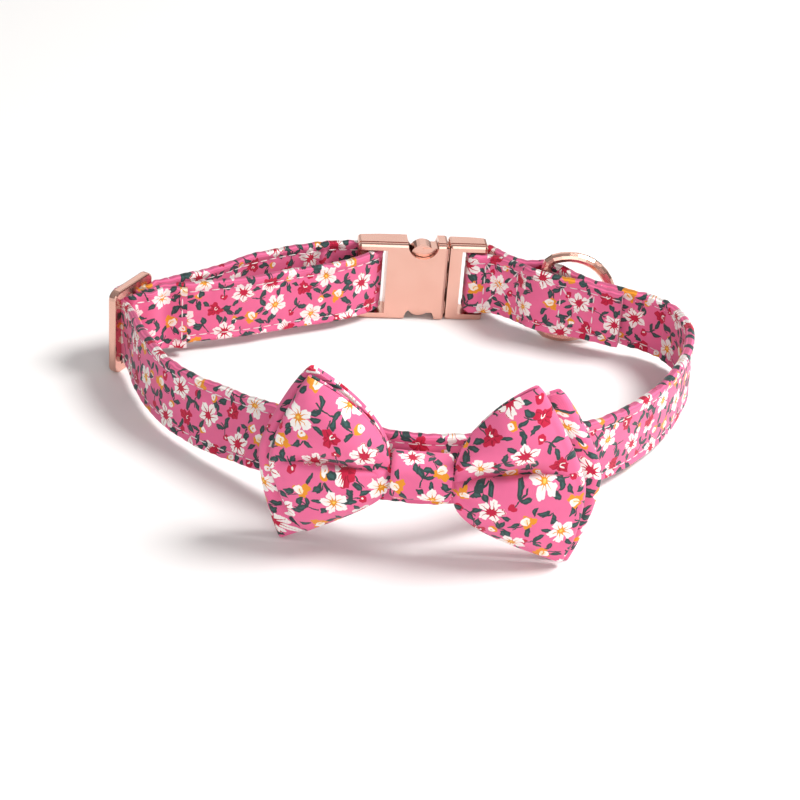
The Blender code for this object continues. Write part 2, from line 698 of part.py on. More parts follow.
def wing_point(wing, side, share, height_share, wall, depth_at, bow):
    """A point of a wing's wall: share runs from the knot's edge to the fold at the wing's end."""
    up, down = wing["up"], wing["down"]
    top, middle, bottom = wing["top"], wing["middle"], wing["bottom"]
    curve = (top + bottom) / 2 - middle
    reach = (middle + (top - bottom) / 2 * height_share + curve * height_share**2) * BOW_HEIGHT
    fold_start = reach - fold_radius(height_share) - BOW_CLOTH / 2
    x = KNOT_EDGE + (fold_start - KNOT_EDGE) * share if share > 0 else KNOT_EDGE * (1 + share)
    corner = (top if height_share > 0 else bottom) * BOW_HEIGHT
    spread = min(max((x - KNOT_EDGE) / (corner - KNOT_EDGE), 0), 1)
    tall = (up if height_share > 0 else down) * BOW_HEIGHT
    flare = wing["flare_up"] if height_share > 0 else wing["flare_down"]
    half = PINCHED_HALF + (tall - PINCHED_HALF) * spread**flare
    opened = 0
    if wall == bow["outward"] and share > 0:
        puff = math.sin(math.pi * share) ** 0.9 * (1 - abs(height_share) ** 2.4)
        crease = math.exp(-((height_share / 0.09) ** 2)) * (1 - 0.6 * share) * min(1, 4 * share) * bow["crease"]
        opened = 2 * (fold_radius(height_share) - PINCH) * min(share * 2, 1) + bow["bulge"] * puff * (1 - crease)
    sweep = BOW_SWEEP * (x / BOW_HEIGHT) ** 2
    middle_z = BOW_Z - KNOT_DROP * (1 - spread) ** 2
    return Vector((BOW_X + side * x, depth_at + wall * (PINCH + opened) + sweep, middle_z + height_share * half))


def bow_mesh(name, left, right, depth_at, bow, parent):
    """One flattened loop of cloth, open above and below, its two ends folded and its middle pinched."""
    outward = bow["outward"]
    rings = []
    for side, wing in ((1, WINGS[right]), (-1, WINGS[left])):
        walks = [(share, outward, 0) for share in WALL_SHARES]
        walks += [(1, outward, turn) for turn in (45, 90, 135)]
        walks += [(share, -outward, 0) for share in reversed(WALL_SHARES)]
        side_rings = []
        for share, wall, turn in walks:
            ring = []
            for height_share in HEIGHT_SHARES:
                point = wing_point(wing, side, share, height_share, wall, depth_at, bow)
                if turn:
                    angle = math.radians(turn)
                    point.x += side * fold_radius(height_share) * math.sin(angle)
                    point.y -= outward * fold_radius(height_share) * (1 - math.cos(angle))
                ring.append(point)
            side_rings.append(ring)
        rings += side_rings[:-1] if side > 0 else side_rings[::-1][:-1]
    bm = bmesh.new()
    loops = [[bm.verts.new(point) for point in ring] for ring in rings]
    for first, second in zip(loops, loops[1:] + loops[:1]):
        for i in range(len(HEIGHT_SHARES) - 1):
            bm.faces.new((first[i], first[i + 1], second[i + 1], second[i]))
    obj = mesh_object(name, bm, "bow_print", parent, 60)
    cloth = obj.modifiers.new("cloth", "SOLIDIFY")
    cloth.thickness = BOW_CLOTH
    cloth.offset = 0
    return obj


def make_knot(parent):
    """The band round both bows: a rounded loop about the X axis, a little fuller at its middle."""
    middle_y = (KNOT_BACK + KNOT_FRONT) / 2
    deep = KNOT_BACK - KNOT_FRONT
    slices = 6
    outer, inner = [], []
    for i in range(slices + 1):
        along = -1 + 2 * i / slices
        x = BOW_X + along * KNOT_WIDTH / 2
        shrink = 0.3 * KNOT_CLOTH * along**4
        for rings, inset in ((outer, shrink), (inner, KNOT_CLOTH)):
            outline = rounded_outline(deep - 2 * inset, KNOT_HEIGHT - 2 * inset, KNOT_CORNER - inset)
            rings.append([Vector((x, middle_y + y, BOW_Z - KNOT_DROP + z)) for y, z in outline])
    bm = bmesh.new()
    bridge(bm, outer + inner[::-1], closed=True)
    return mesh_object("bow_knot", bm, "knot_print", parent, 50)


def place_on_floor(root):
    """Puts the middle of the model's footprint over the origin, with its lowest point on the floor."""
    bpy.context.view_layer.update()
    graph = bpy.context.evaluated_depsgraph_get()
    low, high = Vector((1e9,) * 3), Vector((-1e9,) * 3)
    for obj in bpy.data.objects:
        if obj.hide_render or obj.type == "EMPTY":
            continue
        shown = obj.evaluated_get(graph)
        mesh = shown.to_mesh()
        for vert in mesh.vertices:
            spot = shown.matrix_world @ vert.co
            low = Vector(map(min, low, spot))
            high = Vector(map(max, high, spot))
        shown.to_mesh_clear()
    root.location = (-(low.x + high.x) / 2, -(low.y + high.y) / 2, -low.z)


def main():
    clear_scene()
    root = bpy.data.objects.new("collar", None)
    bpy.context.scene.collection.objects.link(root)
    make_strap(root)
    buckle = seat_empty("buckle_place", BUCKLE, root)
    make_socket(buckle)
    make_plug(buckle)
    make_slider(seat_empty("slider_place", SLIDER, root))
    make_ring(root)
    back = dict(outward=1, bulge=BOW_BACK_BULGE, crease=0)
    front = dict(outward=-1, bulge=BOW_BULGE, crease=0.95)
    bow_mesh("bow_back", "back_left", "back_right", BACK_BOW_Y, back, root)
    bow_mesh("bow_front", "front_left", "front_right", FRONT_BOW_Y, front, root)
    make_knot(root)
    place_on_floor(root)


if __name__ == "__main__":
    main()
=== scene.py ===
"""Looks of the pet bow tie collar: its printed cloth, stitching, metal, floor, light and camera.

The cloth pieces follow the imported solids. Lengths are in metres.
"""

from functools import partialmethod
from math import ceil, copysign, cos, degrees, dist, exp, hypot, pi, radians, sin, sqrt

import bmesh
import bpy
from bpy.props import FloatProperty, FloatVectorProperty, PointerProperty
from mathutils import Matrix, Vector, noise
from mathutils.geometry import interpolate_bezier


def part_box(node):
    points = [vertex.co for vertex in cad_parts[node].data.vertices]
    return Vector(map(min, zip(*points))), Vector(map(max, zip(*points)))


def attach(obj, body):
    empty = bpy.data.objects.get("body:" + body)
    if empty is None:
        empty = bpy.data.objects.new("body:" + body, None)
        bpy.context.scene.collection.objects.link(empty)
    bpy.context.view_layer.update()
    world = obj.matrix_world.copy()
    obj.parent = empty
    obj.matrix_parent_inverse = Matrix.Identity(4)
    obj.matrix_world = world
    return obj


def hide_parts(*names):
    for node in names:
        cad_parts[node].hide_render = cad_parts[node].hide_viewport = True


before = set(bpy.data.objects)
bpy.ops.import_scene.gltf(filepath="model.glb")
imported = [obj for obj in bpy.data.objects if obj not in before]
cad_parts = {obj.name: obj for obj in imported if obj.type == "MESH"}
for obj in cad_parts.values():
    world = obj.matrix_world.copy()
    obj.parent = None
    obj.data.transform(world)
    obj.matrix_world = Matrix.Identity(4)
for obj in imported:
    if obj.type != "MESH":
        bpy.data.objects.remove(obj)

bl_info = {
    "name": "Pet Bow Tie Collar",
    "version": (1, 0, 0),
    "blender": (4, 5, 0),
    "location": "3D View > Sidebar > Collar",
    "description": "Dresses a pet bow tie collar in printed cloth, thread and rose gold",
    "category": "Object",
}

# Sizes that the solids were made from; turns are in degrees
STRAP_WIDTH = 0.0204
STRAP_THICK = 0.0024
PRESSED_THICK = 0.0014
LOOP_WIDTH = 0.170
LOOP_DEPTH = 0.130
TOUCH_GAP = 0.0003
SLOT_CLEAR = 0.0004
BUCKLE_SLOT_CLEAR = 0.0006
HEM_LEAN_CLEAR = 0.0006
LOOP_EASE = 0.0003
BUCKLE_LENGTH = 0.0402
BUCKLE_ARM = 0.0021
BUCKLE_BAR = 0.0033
BUCKLE_BAR_THICK = 0.0040
BUCKLE_TURN = 6.5
SLIDER_LENGTH = 0.0190
SLIDER_THICK = 0.0026
SLIDER_BAR = 0.0028
SLIDER_ARM = 0.0026
CENTRE_BAR = 0.0020
SLIDER_TURN = 65.0
RING_WIRE = 0.0032
RING_HEIGHT = 0.0306
RING_STRAP_TURN = -28.0
BOW_CLOTH = 0.0014
BOW_HEIGHT = 0.0508
BOW_BACK_BULGE = 0.0016
BOW_SWEEP = 0.0014
FOLD_RADIUS = 0.0017
KNOT_WIDTH = 0.0156
KNOT_HEIGHT = 0.0108
KNOT_DROP = 0.0026
KNOT_CLOTH = 0.0016
KNOT_CORNER = 0.0030
BOW_MIDDLE = 0.512

# Sizes of the shown cloth alone
SHOWN_CLOTH = 0.0009
BOW_BULGE = 0.0042
EDGE_ROUNDING = 0.0009
SEAM_WIDTH = 0.0006
ROLL_WIDTH = 0.0007
LAYER_WIDTH = 0.0002
END_SEAM = 0.0014
KNOT_WAVE = 0.00012

HALF_STRAP = STRAP_THICK / 2
HALF_PRESSED = PRESSED_THICK / 2
PRESSED_STEP = PRESSED_THICK + TOUCH_GAP
SLOT_HEIGHT = STRAP_WIDTH + 2 * SLOT_CLEAR
BUCKLE_MID = STRAP_WIDTH / 2 + BUCKLE_SLOT_CLEAR + BUCKLE_ARM
SLIDER_MID = SLOT_HEIGHT / 2 + SLIDER_ARM
RING_MID = RING_HEIGHT / 2
BAR_PITCH = (SLIDER_LENGTH - SLIDER_BAR) / 2
BEND = TOUCH_GAP + HALF_PRESSED
UNDER_BAR = -(SLIDER_THICK / 2 + TOUCH_GAP + HALF_PRESSED)
SEWN_ROWS = 4
SOCKET_LEAVE = -50
SLIDER_ENTER = 322

BUCKLE_AT = (0.0185, 0.586)
SLIDER_AT = (-0.474, 0.238)
RING_AT = (0.243, 0.502)
BOW_AT = (0.041, -0.385)

# The strap's route, as the solids have it: place across and from front to back as shares of the
# loop, height of its middle as a share of its width, and lean in degrees
TAIL_END = (
    (0.380, 0.424, 0.70, -8),
    (0.347, 0.437, 0.71, -8),
    (0.312, 0.451, 0.73, -6),
)
TAIL_TO_PLUG = (
    (0.200, 0.530, 0.685, -4),
    (0.165, 0.563, 0.66, -2),
)
RING_TO_BOW = (
    (0.425, 0.437, 0.66, 7),
    (0.470, 0.398, 0.61, 5),
    (0.491, 0.326, 0.59, 3),
    (0.489, 0.243, 0.57, 1),
    (0.476, 0.180, 0.56, 0),
    (0.435, 0.050, 0.56, 0),
    (0.383, -0.056, 0.57, 0),
    (0.326, -0.150, 0.64, 0),
    (0.262, -0.236, 0.76, 1),
    (0.206, -0.295, 0.88, 2),
    (0.141, -0.347, 0.98, 3),
    (0.085, -0.375, 1.03, 3),
)
BOW_TO_SLIDER = (
    (0.041, -0.385, 1.04, 3),
    (-0.006, -0.379, 1.03, 3),
    (-0.060, -0.357, 1.00, 4),
    (-0.118, -0.318, 0.92, 5),
    (-0.177, -0.267, 0.81, 6),
    (-0.221, -0.228, 0.745, 7),
    (-0.269, -0.181, 0.68, 8),
    (-0.312, -0.137, 0.64, 8),
    (-0.353, -0.091, 0.62, 6),
    (-0.390, -0.037, 0.62, 4),
    (-0.437, 0.073, 0.635, 3),
)
SLIDER_TO_SOCKET = (
    (-0.422, 0.313, 0.65, 1),
    (-0.385, 0.354, 0.64, 1),
    (-0.347, 0.395, 0.635, 1),
    (-0.285, 0.480, 0.63, 1),
    (-0.201, 0.556, 0.62, 1),
    (-0.148, 0.584, 0.63, 0),
)
SOCKET_TO_SLIDER = (
    (-0.108, 0.497, 0.63, 0),
    (-0.143, 0.466, 0.625, -1),
    (-0.196, 0.431, 0.62, -2),
    (-0.280, 0.366, 0.63, -3),
    (-0.345, 0.327, 0.64, -3),
    (-0.388, 0.303, 0.645, -2),
)

# The bow's wings, as shares of the bow's height: how far the end reaches at its top, middle and
# bottom, how high and low its corners stand, how fast it widens above and below, and how high its
# crease runs above the knot's middle, beside the knot and at the end
WING_SIZES = "top middle bottom up down flare_up flare_down near far".split()
WING_ROWS = {
    "front_left": (0.59, 0.76, 0.57, 0.485, 0.412, 0.47, 0.66, 0.032, 0.080),
    "front_right": (0.53, 0.81, 0.75, 0.53, 0.478, 0.46, 0.46, 0.018, 0.135),
    "back_left": (0.59, 0.82, 0.70, 0.50, 0.512, 0.50, 0.60, 0, 0.05),
    "back_right": (0.645, 0.895, 0.785, 0.475, 0.512, 0.50, 0.48, 0, 0.05),
}
WINGS = {name: dict(zip(WING_SIZES, row)) for name, row in WING_ROWS.items()}


def size_property(name, description, default):
    return FloatProperty(name=name, description=description, default=default, unit="LENGTH")


def colour_property(name, description, default):
    return FloatVectorProperty(
        name=name, description=description, default=default, size=3, min=0, max=1, subtype="COLOR"
    )


class CollarSizes(bpy.types.PropertyGroup):
    """Sizes of the detail that the cloth and thread carry."""

    hem: size_property("Hem", "Width of the sewn hem", 0.0027)
    stitch: size_property("Stitch", "Length of a stitch", 0.0026)
    stitch_gap: size_property("Stitch gap", "Gap between stitches", 0.0008)
    thread: size_property("Thread", "Thickness of the thread", 0.00046)
    pucker: size_property("Pucker", "How far a stitch pulls the cloth in", 0.00027)
    ripple: size_property("Ripple", "How far the strap's edges wave", 0.00020)
    step: size_property("Mesh step", "Length of a face along the strap", 0.0008)
    motif: size_property("Motif spacing", "Distance between flowers of one kind", 0.0128)
    weave: size_property("Weave", "Distance between threads of the weave", 0.00042)

    def pitch(self):
        """From the start of a stitch to the start of the next."""
        return self.stitch + self.stitch_gap


class CollarColours(bpy.types.PropertyGroup):
    """Colours of the print, thread, metal and floor, as linear red, green and blue."""

    ground: colour_property("Ground", "Pink of the cloth", (0.80, 0.150, 0.315))
    petal: colour_property("Petal", "White of the open flowers", (0.93, 0.88, 0.85))
    crimson: colour_property("Crimson", "Red of the blooms and veins", (0.55, 0.014, 0.055))
    amber: colour_property("Amber", "Orange yellow of buds and flower centres", (0.80, 0.30, 0.025))
    leaf: colour_property("Leaf", "Dark grey green of the leaves", (0.034, 0.062, 0.062))
    leaf_vein: colour_property("Leaf vein", "Teal in the middle of a leaf", (0.045, 0.105, 0.10))
    thread: colour_property("Thread", "Pale thread", (0.93, 0.84, 0.84))
    metal: colour_property("Metal", "Rose gold", (0.76, 0.455, 0.37))
    floor: colour_property("Floor", "Plain pale floor", (0.92, 0.915, 0.91))


# Places on the strap's route


class Seat:
    """A place on the loop: along runs along the strap there, and out away from the neck."""

    def __init__(self, at, turn, height, thick=STRAP_THICK):
        self.origin = Vector((at[0] * LOOP_WIDTH, at[1] * LOOP_DEPTH))
        angle = radians(turn)
        self.along = Vector((cos(angle), sin(angle)))
        self.out = Vector((-self.along.y, self.along.x))
        self.height = height
        self.thick = thick

    def row(self, along, out, lean=0):
        spot = self.origin + self.along * along + self.out * out
        return (spot.x, spot.y, self.height, lean, self.thick)

    def corner(self, along, out, radius, start, end, steps=3):
        rows = []
        for i in range(steps + 1):
            angle = radians(start + (end - start) * i / steps)
            right, ahead = radius * cos(angle), radius * sin(angle)
            rows.append(self.row(along + right, out + ahead))
        return rows


BUCKLE = Seat(BUCKLE_AT, BUCKLE_TURN, BUCKLE_MID)
SLIDER = Seat(SLIDER_AT, SLIDER_TURN, SLIDER_MID, PRESSED_THICK)
RING = Seat(RING_AT, RING_STRAP_TURN, RING_MID)


def solids_offset():
    """How far the solids were moved to centre them, read from the slider."""
    low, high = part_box("slider")
    x, y = (low.x + high.x) / 2, (low.y + high.y) / 2
    return Vector((x - SLIDER.origin.x, y - SLIDER.origin.y, low.z))


OFFSET = solids_offset()


def free_rows(table):
    return [
        (x * LOOP_WIDTH, y * LOOP_DEPTH, height * STRAP_WIDTH, lean, STRAP_THICK)
        for x, y, height, lean in table
    ]


def turned_back(rows):
    return [(x, y, height, -lean, thick) for x, y, height, lean, thick in reversed(rows)]


def beside(rows, side):
    """A second layer of the strap against the first, on one side of it."""
    moved = []
    for i, (x, y, height, lean, thick) in enumerate(rows):
        before, after = rows[max(i - 1, 0)], rows[min(i + 1, len(rows) - 1)]
        heading = Vector((after[0] - before[0], after[1] - before[1])).normalized()
        step = side * (thick + TOUCH_GAP + LOOP_EASE)
        moved.append((x - heading.y * step, y + heading.x * step, height, lean, thick))
    return moved


def round_plug_bar():
    bar_out = BUCKLE_BAR_THICK / 2
    bar_left = BUCKLE_LENGTH / 2 - BUCKLE_BAR
    edge = TOUCH_GAP + HALF_STRAP
    return [
        BUCKLE.row(BUCKLE_LENGTH / 2, -bar_out - edge),
        *BUCKLE.corner(bar_left, -bar_out, edge, 270, 180),
        *BUCKLE.corner(bar_left, bar_out, edge, 180, 90),
        *BUCKLE.corner(BUCKLE_LENGTH / 2, bar_out, edge + LOOP_EASE, 80, 30, steps=2),
    ]


def round_socket_bar():
    bar_out = BUCKLE_BAR_THICK / 2
    bar_right = -BUCKLE_LENGTH / 2 + BUCKLE_BAR
    edge = TOUCH_GAP + HALF_STRAP
    return [
        BUCKLE.row(-BUCKLE_LENGTH / 2, bar_out + edge),
        *BUCKLE.corner(bar_right, 0, bar_out + edge, 90, SOCKET_LEAVE, steps=7),
    ]


def past_ring_bar(side):
    offset = side * (RING_WIRE / 2 + TOUCH_GAP + HEM_LEAN_CLEAR + HALF_STRAP)
    return [RING.row(along, offset, 2) for along in (-0.6 * RING_WIRE, 0.6 * RING_WIRE)]


def weave_main():
    half = CENTRE_BAR / 2
    inside = BAR_PITCH - SLIDER_BAR / 2
    over_loop = BEND + PRESSED_STEP + LOOP_EASE
    return [
        *SLIDER.corner(-inside, -SLIDER_THICK / 2, BEND, SLIDER_ENTER, 360, steps=2),
        *SLIDER.corner(-half, SLIDER_THICK / 2, over_loop, 180, 90),
        *SLIDER.corner(half, SLIDER_THICK / 2, over_loop, 90, 0),
        *SLIDER.corner(inside, -SLIDER_THICK / 2, BEND, 180, 270),
        SLIDER.row(BAR_PITCH + 0.6 * SLIDER_BAR, UNDER_BAR),
    ]


def adjusting_layer():
    into_window = [
        SLIDER.row(BAR_PITCH + 0.2 * SLIDER_BAR, UNDER_BAR - 1.6 * PRESSED_STEP),
        SLIDER.row(BAR_PITCH / 2, UNDER_BAR - 0.8 * PRESSED_STEP),
        SLIDER.row(CENTRE_BAR / 2 + BEND + TOUCH_GAP, -SLIDER_THICK / 2),
    ]
    return free_rows(SOCKET_TO_SLIDER) + into_window


def round_centre_bar():
    half = CENTRE_BAR / 2
    return [
        *SLIDER.corner(half, SLIDER_THICK / 2, BEND, 0, 90),
        *SLIDER.corner(-half, SLIDER_THICK / 2, BEND, 90, 180),
        *SLIDER.corner(-half, -SLIDER_THICK / 2, BEND, 180, 270),
    ]


def strap_route():
    to_plug = free_rows(TAIL_END)
    near_plug = free_rows(TAIL_TO_PLUG)
    adjusting = adjusting_layer()
    return (
        to_plug
        + turned_back(past_ring_bar(-1))
        + near_plug
        + round_plug_bar()
        + turned_back(beside(near_plug, -1))
        + past_ring_bar(1)
        + turned_back(beside(to_plug, -1))
        + free_rows(RING_TO_BOW)
        + free_rows(BOW_TO_SLIDER)
        + weave_main()
        + free_rows(SLIDER_TO_SOCKET)
        + round_socket_bar()
        + adjusting
        + round_centre_bar()
        + turned_back(beside(adjusting, 1))[1:SEWN_ROWS]
    )


def smooth_rows(rows, span_step, turn_step):
    """The route as a smooth curve in steps no longer and no more turned than given."""
    places = [Vector(row[:2]) for row in rows]
    last = len(rows) - 1
    heads = []
    for i in range(len(rows)):
        before, here, after = places[max(i - 1, 0)], places[i], places[min(i + 1, last)]
        back = max((here - before).length, 1e-9)
        ahead = max((after - here).length, 1e-9)
        heads.append(((here - before) / back * ahead + (after - here) / ahead * back).normalized())
    found = []
    for i in range(last):
        start, end = places[i], places[i + 1]
        span = (end - start).length
        turn = degrees(heads[i].angle(heads[i + 1]))
        steps = max(1, ceil(span / span_step), ceil(turn / turn_step))
        handle = span / 3
        curve = interpolate_bezier(
            start, start + heads[i] * handle, end - heads[i + 1] * handle, end, steps + 1
        )
        for step in range(steps):
            share = step / steps
            rest = [a + (b - a) * share for a, b in zip(rows[i][2:], rows[i + 1][2:])]
            found.append((Vector(curve[step][:2]), *rest))
    found.append((places[last], *rows[last][2:]))
    return found


# Folds across the strap where it hangs loose: place along it from its tail, half the fold's width,
# and how far it stands out on the strap's face
LOOSE_FOLDS = (
    (0.1166, 0.0015, -0.0008),
    (0.1262, 0.0009, 0.0007),
    (0.1278, 0.0012, -0.0004),
    (0.4656, 0.0010, -0.0008),
    (0.4710, 0.0011, -0.0009),
    (0.4745, 0.0014, 0.0005),
)


def hump(value, middle, width):
    """A smooth rise and fall, 1 at its middle."""
    return exp(-(((value - middle) / width) ** 2))


class Band:
    """The strap's surface: s is along it, v across it from its middle, and side 1 is its face."""

    def __init__(self, sizes):
        self.sizes = sizes
        rows = smooth_rows(strap_route(), sizes.step, 8)
        self.lengths = [0.0]
        self.frames = []
        for i, (place, height, lean, thick) in enumerate(rows):
            ahead, behind = rows[min(i + 1, len(rows) - 1)][0], rows[max(i - 1, 0)][0]
            heading = (ahead - behind).normalized()
            out = Vector((-heading.y, heading.x, 0))
            tilt = radians(lean)
            up = Vector((0, 0, cos(tilt))) - out * sin(tilt)
            across = out * cos(tilt) + Vector((0, 0, sin(tilt)))
            self.frames.append((Vector((place.x, place.y, height)), across, up, thick))
            if i:
                self.lengths.append(self.lengths[-1] + (place - rows[i - 1][0]).length)
        self.length = self.lengths[-1]

    def at(self, s):
        """The strap's middle, its directions across its face and up, and its thickness."""
        low, high = 0, len(self.lengths) - 1
        while high - low > 1:
            middle = (low + high) // 2
            low, high = (middle, high) if self.lengths[middle] <= s else (low, middle)
        span = max(self.lengths[high] - self.lengths[low], 1e-9)
        share = min(max((s - self.lengths[low]) / span, 0), 1)
        first, second = self.frames[low], self.frames[high]
        return [a + (b - a) * share for a, b in zip(first, second)]

    def half(self, s, v, thick):
        """Half the strap's thickness: round at the edges and pulled in along the stitches."""
        inward = STRAP_WIDTH / 2 - abs(v)
        edge = min(0.9 * thick / 2, EDGE_ROUNDING)
        rounding = sqrt(max(0, 1 - (1 - min(inward / edge, 1)) ** 2))
        held = 0.65 + 0.35 * cos(2 * pi * s / self.sizes.pitch())
        seam = hump(inward, self.sizes.hem, SEAM_WIDTH) * held
        roll = 0.7 * hump(inward, 0.42 * self.sizes.hem, ROLL_WIDTH)
        layer = 0.5 * hump(inward, LAYER_WIDTH, LAYER_WIDTH)
        loose = thick / STRAP_THICK
        return thick / 2 * rounding + loose * self.sizes.pucker * (roll - seam - layer) * rounding

    def ripple(self, s, v):
        """How far the cloth waves in or out: most at its edges, and at the loose folds."""
        edge = (abs(v) / (STRAP_WIDTH / 2)) ** 2
        wave = noise.noise(Vector((s * 130, copysign(4, v), 2.3)))
        slow = noise.noise(Vector((s * 45, v * 60, 7.1)))
        folds = sum(depth * hump(s, at, width) for at, width, depth in LOOSE_FOLDS)
        return self.sizes.ripple * (edge * wave * 1.3 + 0.5 * slow) + folds * (1 - 0.45 * edge)

    def ragged(self, s, v):
        """How far the edge wanders up or down between stitches."""
        edge = (abs(v) / (STRAP_WIDTH / 2)) ** 8
        drawn = 0.5 * cos(2 * pi * s / self.sizes.pitch())
        frayed = 1.5 * noise.noise(Vector((s * 300, copysign(9, v), 5.5)))
        return self.sizes.ripple * edge * (frayed + drawn)

    def point(self, s, v, side, lift=0.0):
        middle, across, up, thick = self.at(s)
        loose = min(1, max(0, (thick - PRESSED_THICK) / (STRAP_THICK - PRESSED_THICK)))
        away = side * (self.half(s, v, thick) + lift) + loose * self.ripple(s, v)
        return middle + across * away + up * (v + self.ragged(s, v)) + OFFSET


# Meshes


def wrapped_grid(columns, rows, spot):
    """A grid bent into shape: spot(i, j) says where a corner is, and where on the flat cloth."""
    bm = bmesh.new()
    bmesh.ops.create_grid(bm, x_segments=columns, y_segments=rows, size=0.5)
    cloth = bm.loops.layers.uv.new("cloth")
    spots = {}
    for vert in bm.verts:
        spots[vert] = spot(round((vert.co.x + 0.5) * columns), round((vert.co.y + 0.5) * rows))
    for face in bm.faces:
        for loop in face.loops:
            loop[cloth].uv = spots[loop.vert][1]
    for vert, (place, _) in spots.items():
        vert.co = place
    bmesh.ops.remove_doubles(bm, verts=bm.verts, dist=1e-7)
    return bm


def finished(name, bm, material, smooth=60):
    bm.normal_update()
    bmesh.ops.recalc_face_normals(bm, faces=bm.faces)
    mesh = bpy.data.meshes.new(name)
    bm.to_mesh(mesh)
    bm.free()
    mesh.shade_smooth()
    mesh.set_sharp_from_angle(angle=radians(smooth))
    obj = bpy.data.objects.new(name, mesh)
    bpy.context.scene.collection.objects.link(obj)
    mesh.materials.append(material)
    return obj


# Distances from the strap's edge at which its mesh has a line of corners
EDGE_SPOTS = (
    0, 0.00008, 0.00022, 0.0004, 0.0007, 0.0011, 0.0016, 0.0021, 0.0024, 0.0027,
    0.0030, 0.0036, 0.0052, 0.0075,
)


def strap_mesh(band):
    half_width = STRAP_WIDTH / 2
    lower = [spot - half_width for spot in EDGE_SPOTS]
    face = lower + [0] + [-v for v in reversed(lower)]
    around = [(v, 1) for v in face] + [(v, -1) for v in reversed(face)][1:]
    lengths = band.lengths

    def spot(i, j):
        v, side = around[j]
        flat = v + half_width if side > 0 else 2 * STRAP_WIDTH - (v + half_width)
        return band.point(lengths[i], v, side), (lengths[i], flat)

    bm = wrapped_grid(len(lengths) - 1, len(around) - 1, spot)
    bmesh.ops.holes_fill(bm, edges=[edge for edge in bm.edges if edge.is_boundary], sides=0)
    return bm


def one_stitch():
    """A stitch lying on its long axis, 2 units long, to be stretched and placed."""
    bm = bmesh.new()
    lying = Matrix.Rotation(pi / 2, 4, "Y")
    bmesh.ops.create_uvsphere(bm, u_segments=6, v_segments=5, radius=1, matrix=lying)
    mesh = bpy.data.meshes.new("stitch")
    bm.to_mesh(mesh)
    bm.free()
    return mesh


def add_stitches(bm, stitch, band, path, side, sizes):
    """Stitches end to end along a path of (s, v) places on one face of the strap."""
    pitch = sizes.pitch()
    for (s0, v0), (s1, v1) in zip(path, path[1:]):
        run = hypot(s1 - s0, v1 - v0)
        reach = 0.5 * sizes.stitch / run
        count = max(1, round(run / pitch))
        for i in range(count):
            middle = (i + 0.5) / count
            first, second = (
                band.point(s0 + (s1 - s0) * share, v0 + (v1 - v0) * share, side)
                for share in (middle - reach, middle + reach)
            )
            normal = band.at(s0 + (s1 - s0) * middle)[1] * side
            along = second - first
            normal = (normal - along * normal.dot(along) / along.length_squared).normalized()
            sidewise = normal.cross(along).normalized()
            centre = (first + second) / 2 + normal * 0.1 * sizes.thread
            turn = Matrix((along.normalized(), sidewise, normal)).transposed().to_4x4()
            size = Matrix.Diagonal((along.length / 2, sizes.thread / 2, sizes.thread / 2, 1))
            placed = stitch.copy()
            placed.transform(Matrix.Translation(centre) @ turn @ size)
            bm.from_mesh(placed)
            bpy.data.meshes.remove(placed)


# Where the sewn boxes beside the ring start and end, measured from the strap's tail
BOXES = ((0.0085, 0.0190), (0.0348, 0.0478))


def box_cross(start, end, half):
    """A sewn box between the hem lines with its two diagonals, as paths of (s, v) places."""
    return (
        [(start, -half), (start, half)],
        [(end, -half), (end, half)],
        [(start, -half), (end, half)],
        [(start, half), (end, -half)],
    )


def strap_stitches(band, sizes):
    bm = bmesh.new()
    stitch = one_stitch()
    half = STRAP_WIDTH / 2 - sizes.hem
    pitch = sizes.pitch()
    count = int(band.length / pitch)
    for side in (1, -1):
        for v in (-half, half):
            add_stitches(bm, stitch, band, [(k * pitch, v) for k in range(count)], side, sizes)
    for start, end in BOXES:
        for path in box_cross(start, end, half):
            add_stitches(bm, stitch, band, path, 1, sizes)
    end = band.length - END_SEAM
    add_stitches(bm, stitch, band, [(end, -half), (end, half)], -1, sizes)
    bpy.data.meshes.remove(stitch)
    return bm


# The bow, as the solids have it, with pleats and creases

PINCH = BOW_CLOTH / 2 + 0.5 * TOUCH_GAP
SHOWN_PINCH = SHOWN_CLOTH / 2 + 0.5 * TOUCH_GAP
KNOT_BACK = BOW_AT[1] * LOOP_DEPTH - HALF_STRAP - 2 * TOUCH_GAP
BACK_BOW_Y = KNOT_BACK - KNOT_CLOTH - TOUCH_GAP - PINCH - BOW_CLOTH / 2
FRONT_BOW_Y = BACK_BOW_Y - 2 * PINCH - BOW_CLOTH - TOUCH_GAP
KNOT_FRONT = FRONT_BOW_Y - PINCH - BOW_CLOTH / 2 - TOUCH_GAP - KNOT_CLOTH
PINCHED_HALF = KNOT_HEIGHT / 2 - KNOT_CLOTH - 3 * TOUCH_GAP
KNOT_EDGE = KNOT_WIDTH / 2 + 2 * TOUCH_GAP
BOW_X = BOW_AT[0] * LOOP_WIDTH
BOW_Z = BOW_MIDDLE * BOW_HEIGHT

# The front bow's crease: how far the cloth below laps up over it and how near to it, how wide its
# valley is above and below, as shares of half the wing's height, and how full the lower lobe is
OVERLAP = 0.135
OVERLAP_AT = 0.10
VALLEY_ABOVE = 0.24
VALLEY_BELOW = 0.055
LOWER_LOBE = 0.80

# Pleats that run out from the knot: share of the pleat depth, waves over the height, and phase
PLEATS = ((1, 9.5, 0.8), (0.5, 17, 2.1))

# Corners of the mesh along a wing's creased wall, along its plain one, and up half its height
FINE_COLUMNS = 44
COARSE_COLUMNS = 14
BOW_ROWS = 36


def fold_radius(height_share):
    """Radius of the fold at a wing's end, which closes towards its corners."""
    opened = min(1, 3.4 * (1.01 - min(1, abs(height_share))))
    return SHOWN_PINCH + (FOLD_RADIUS - SHOWN_PINCH) * opened


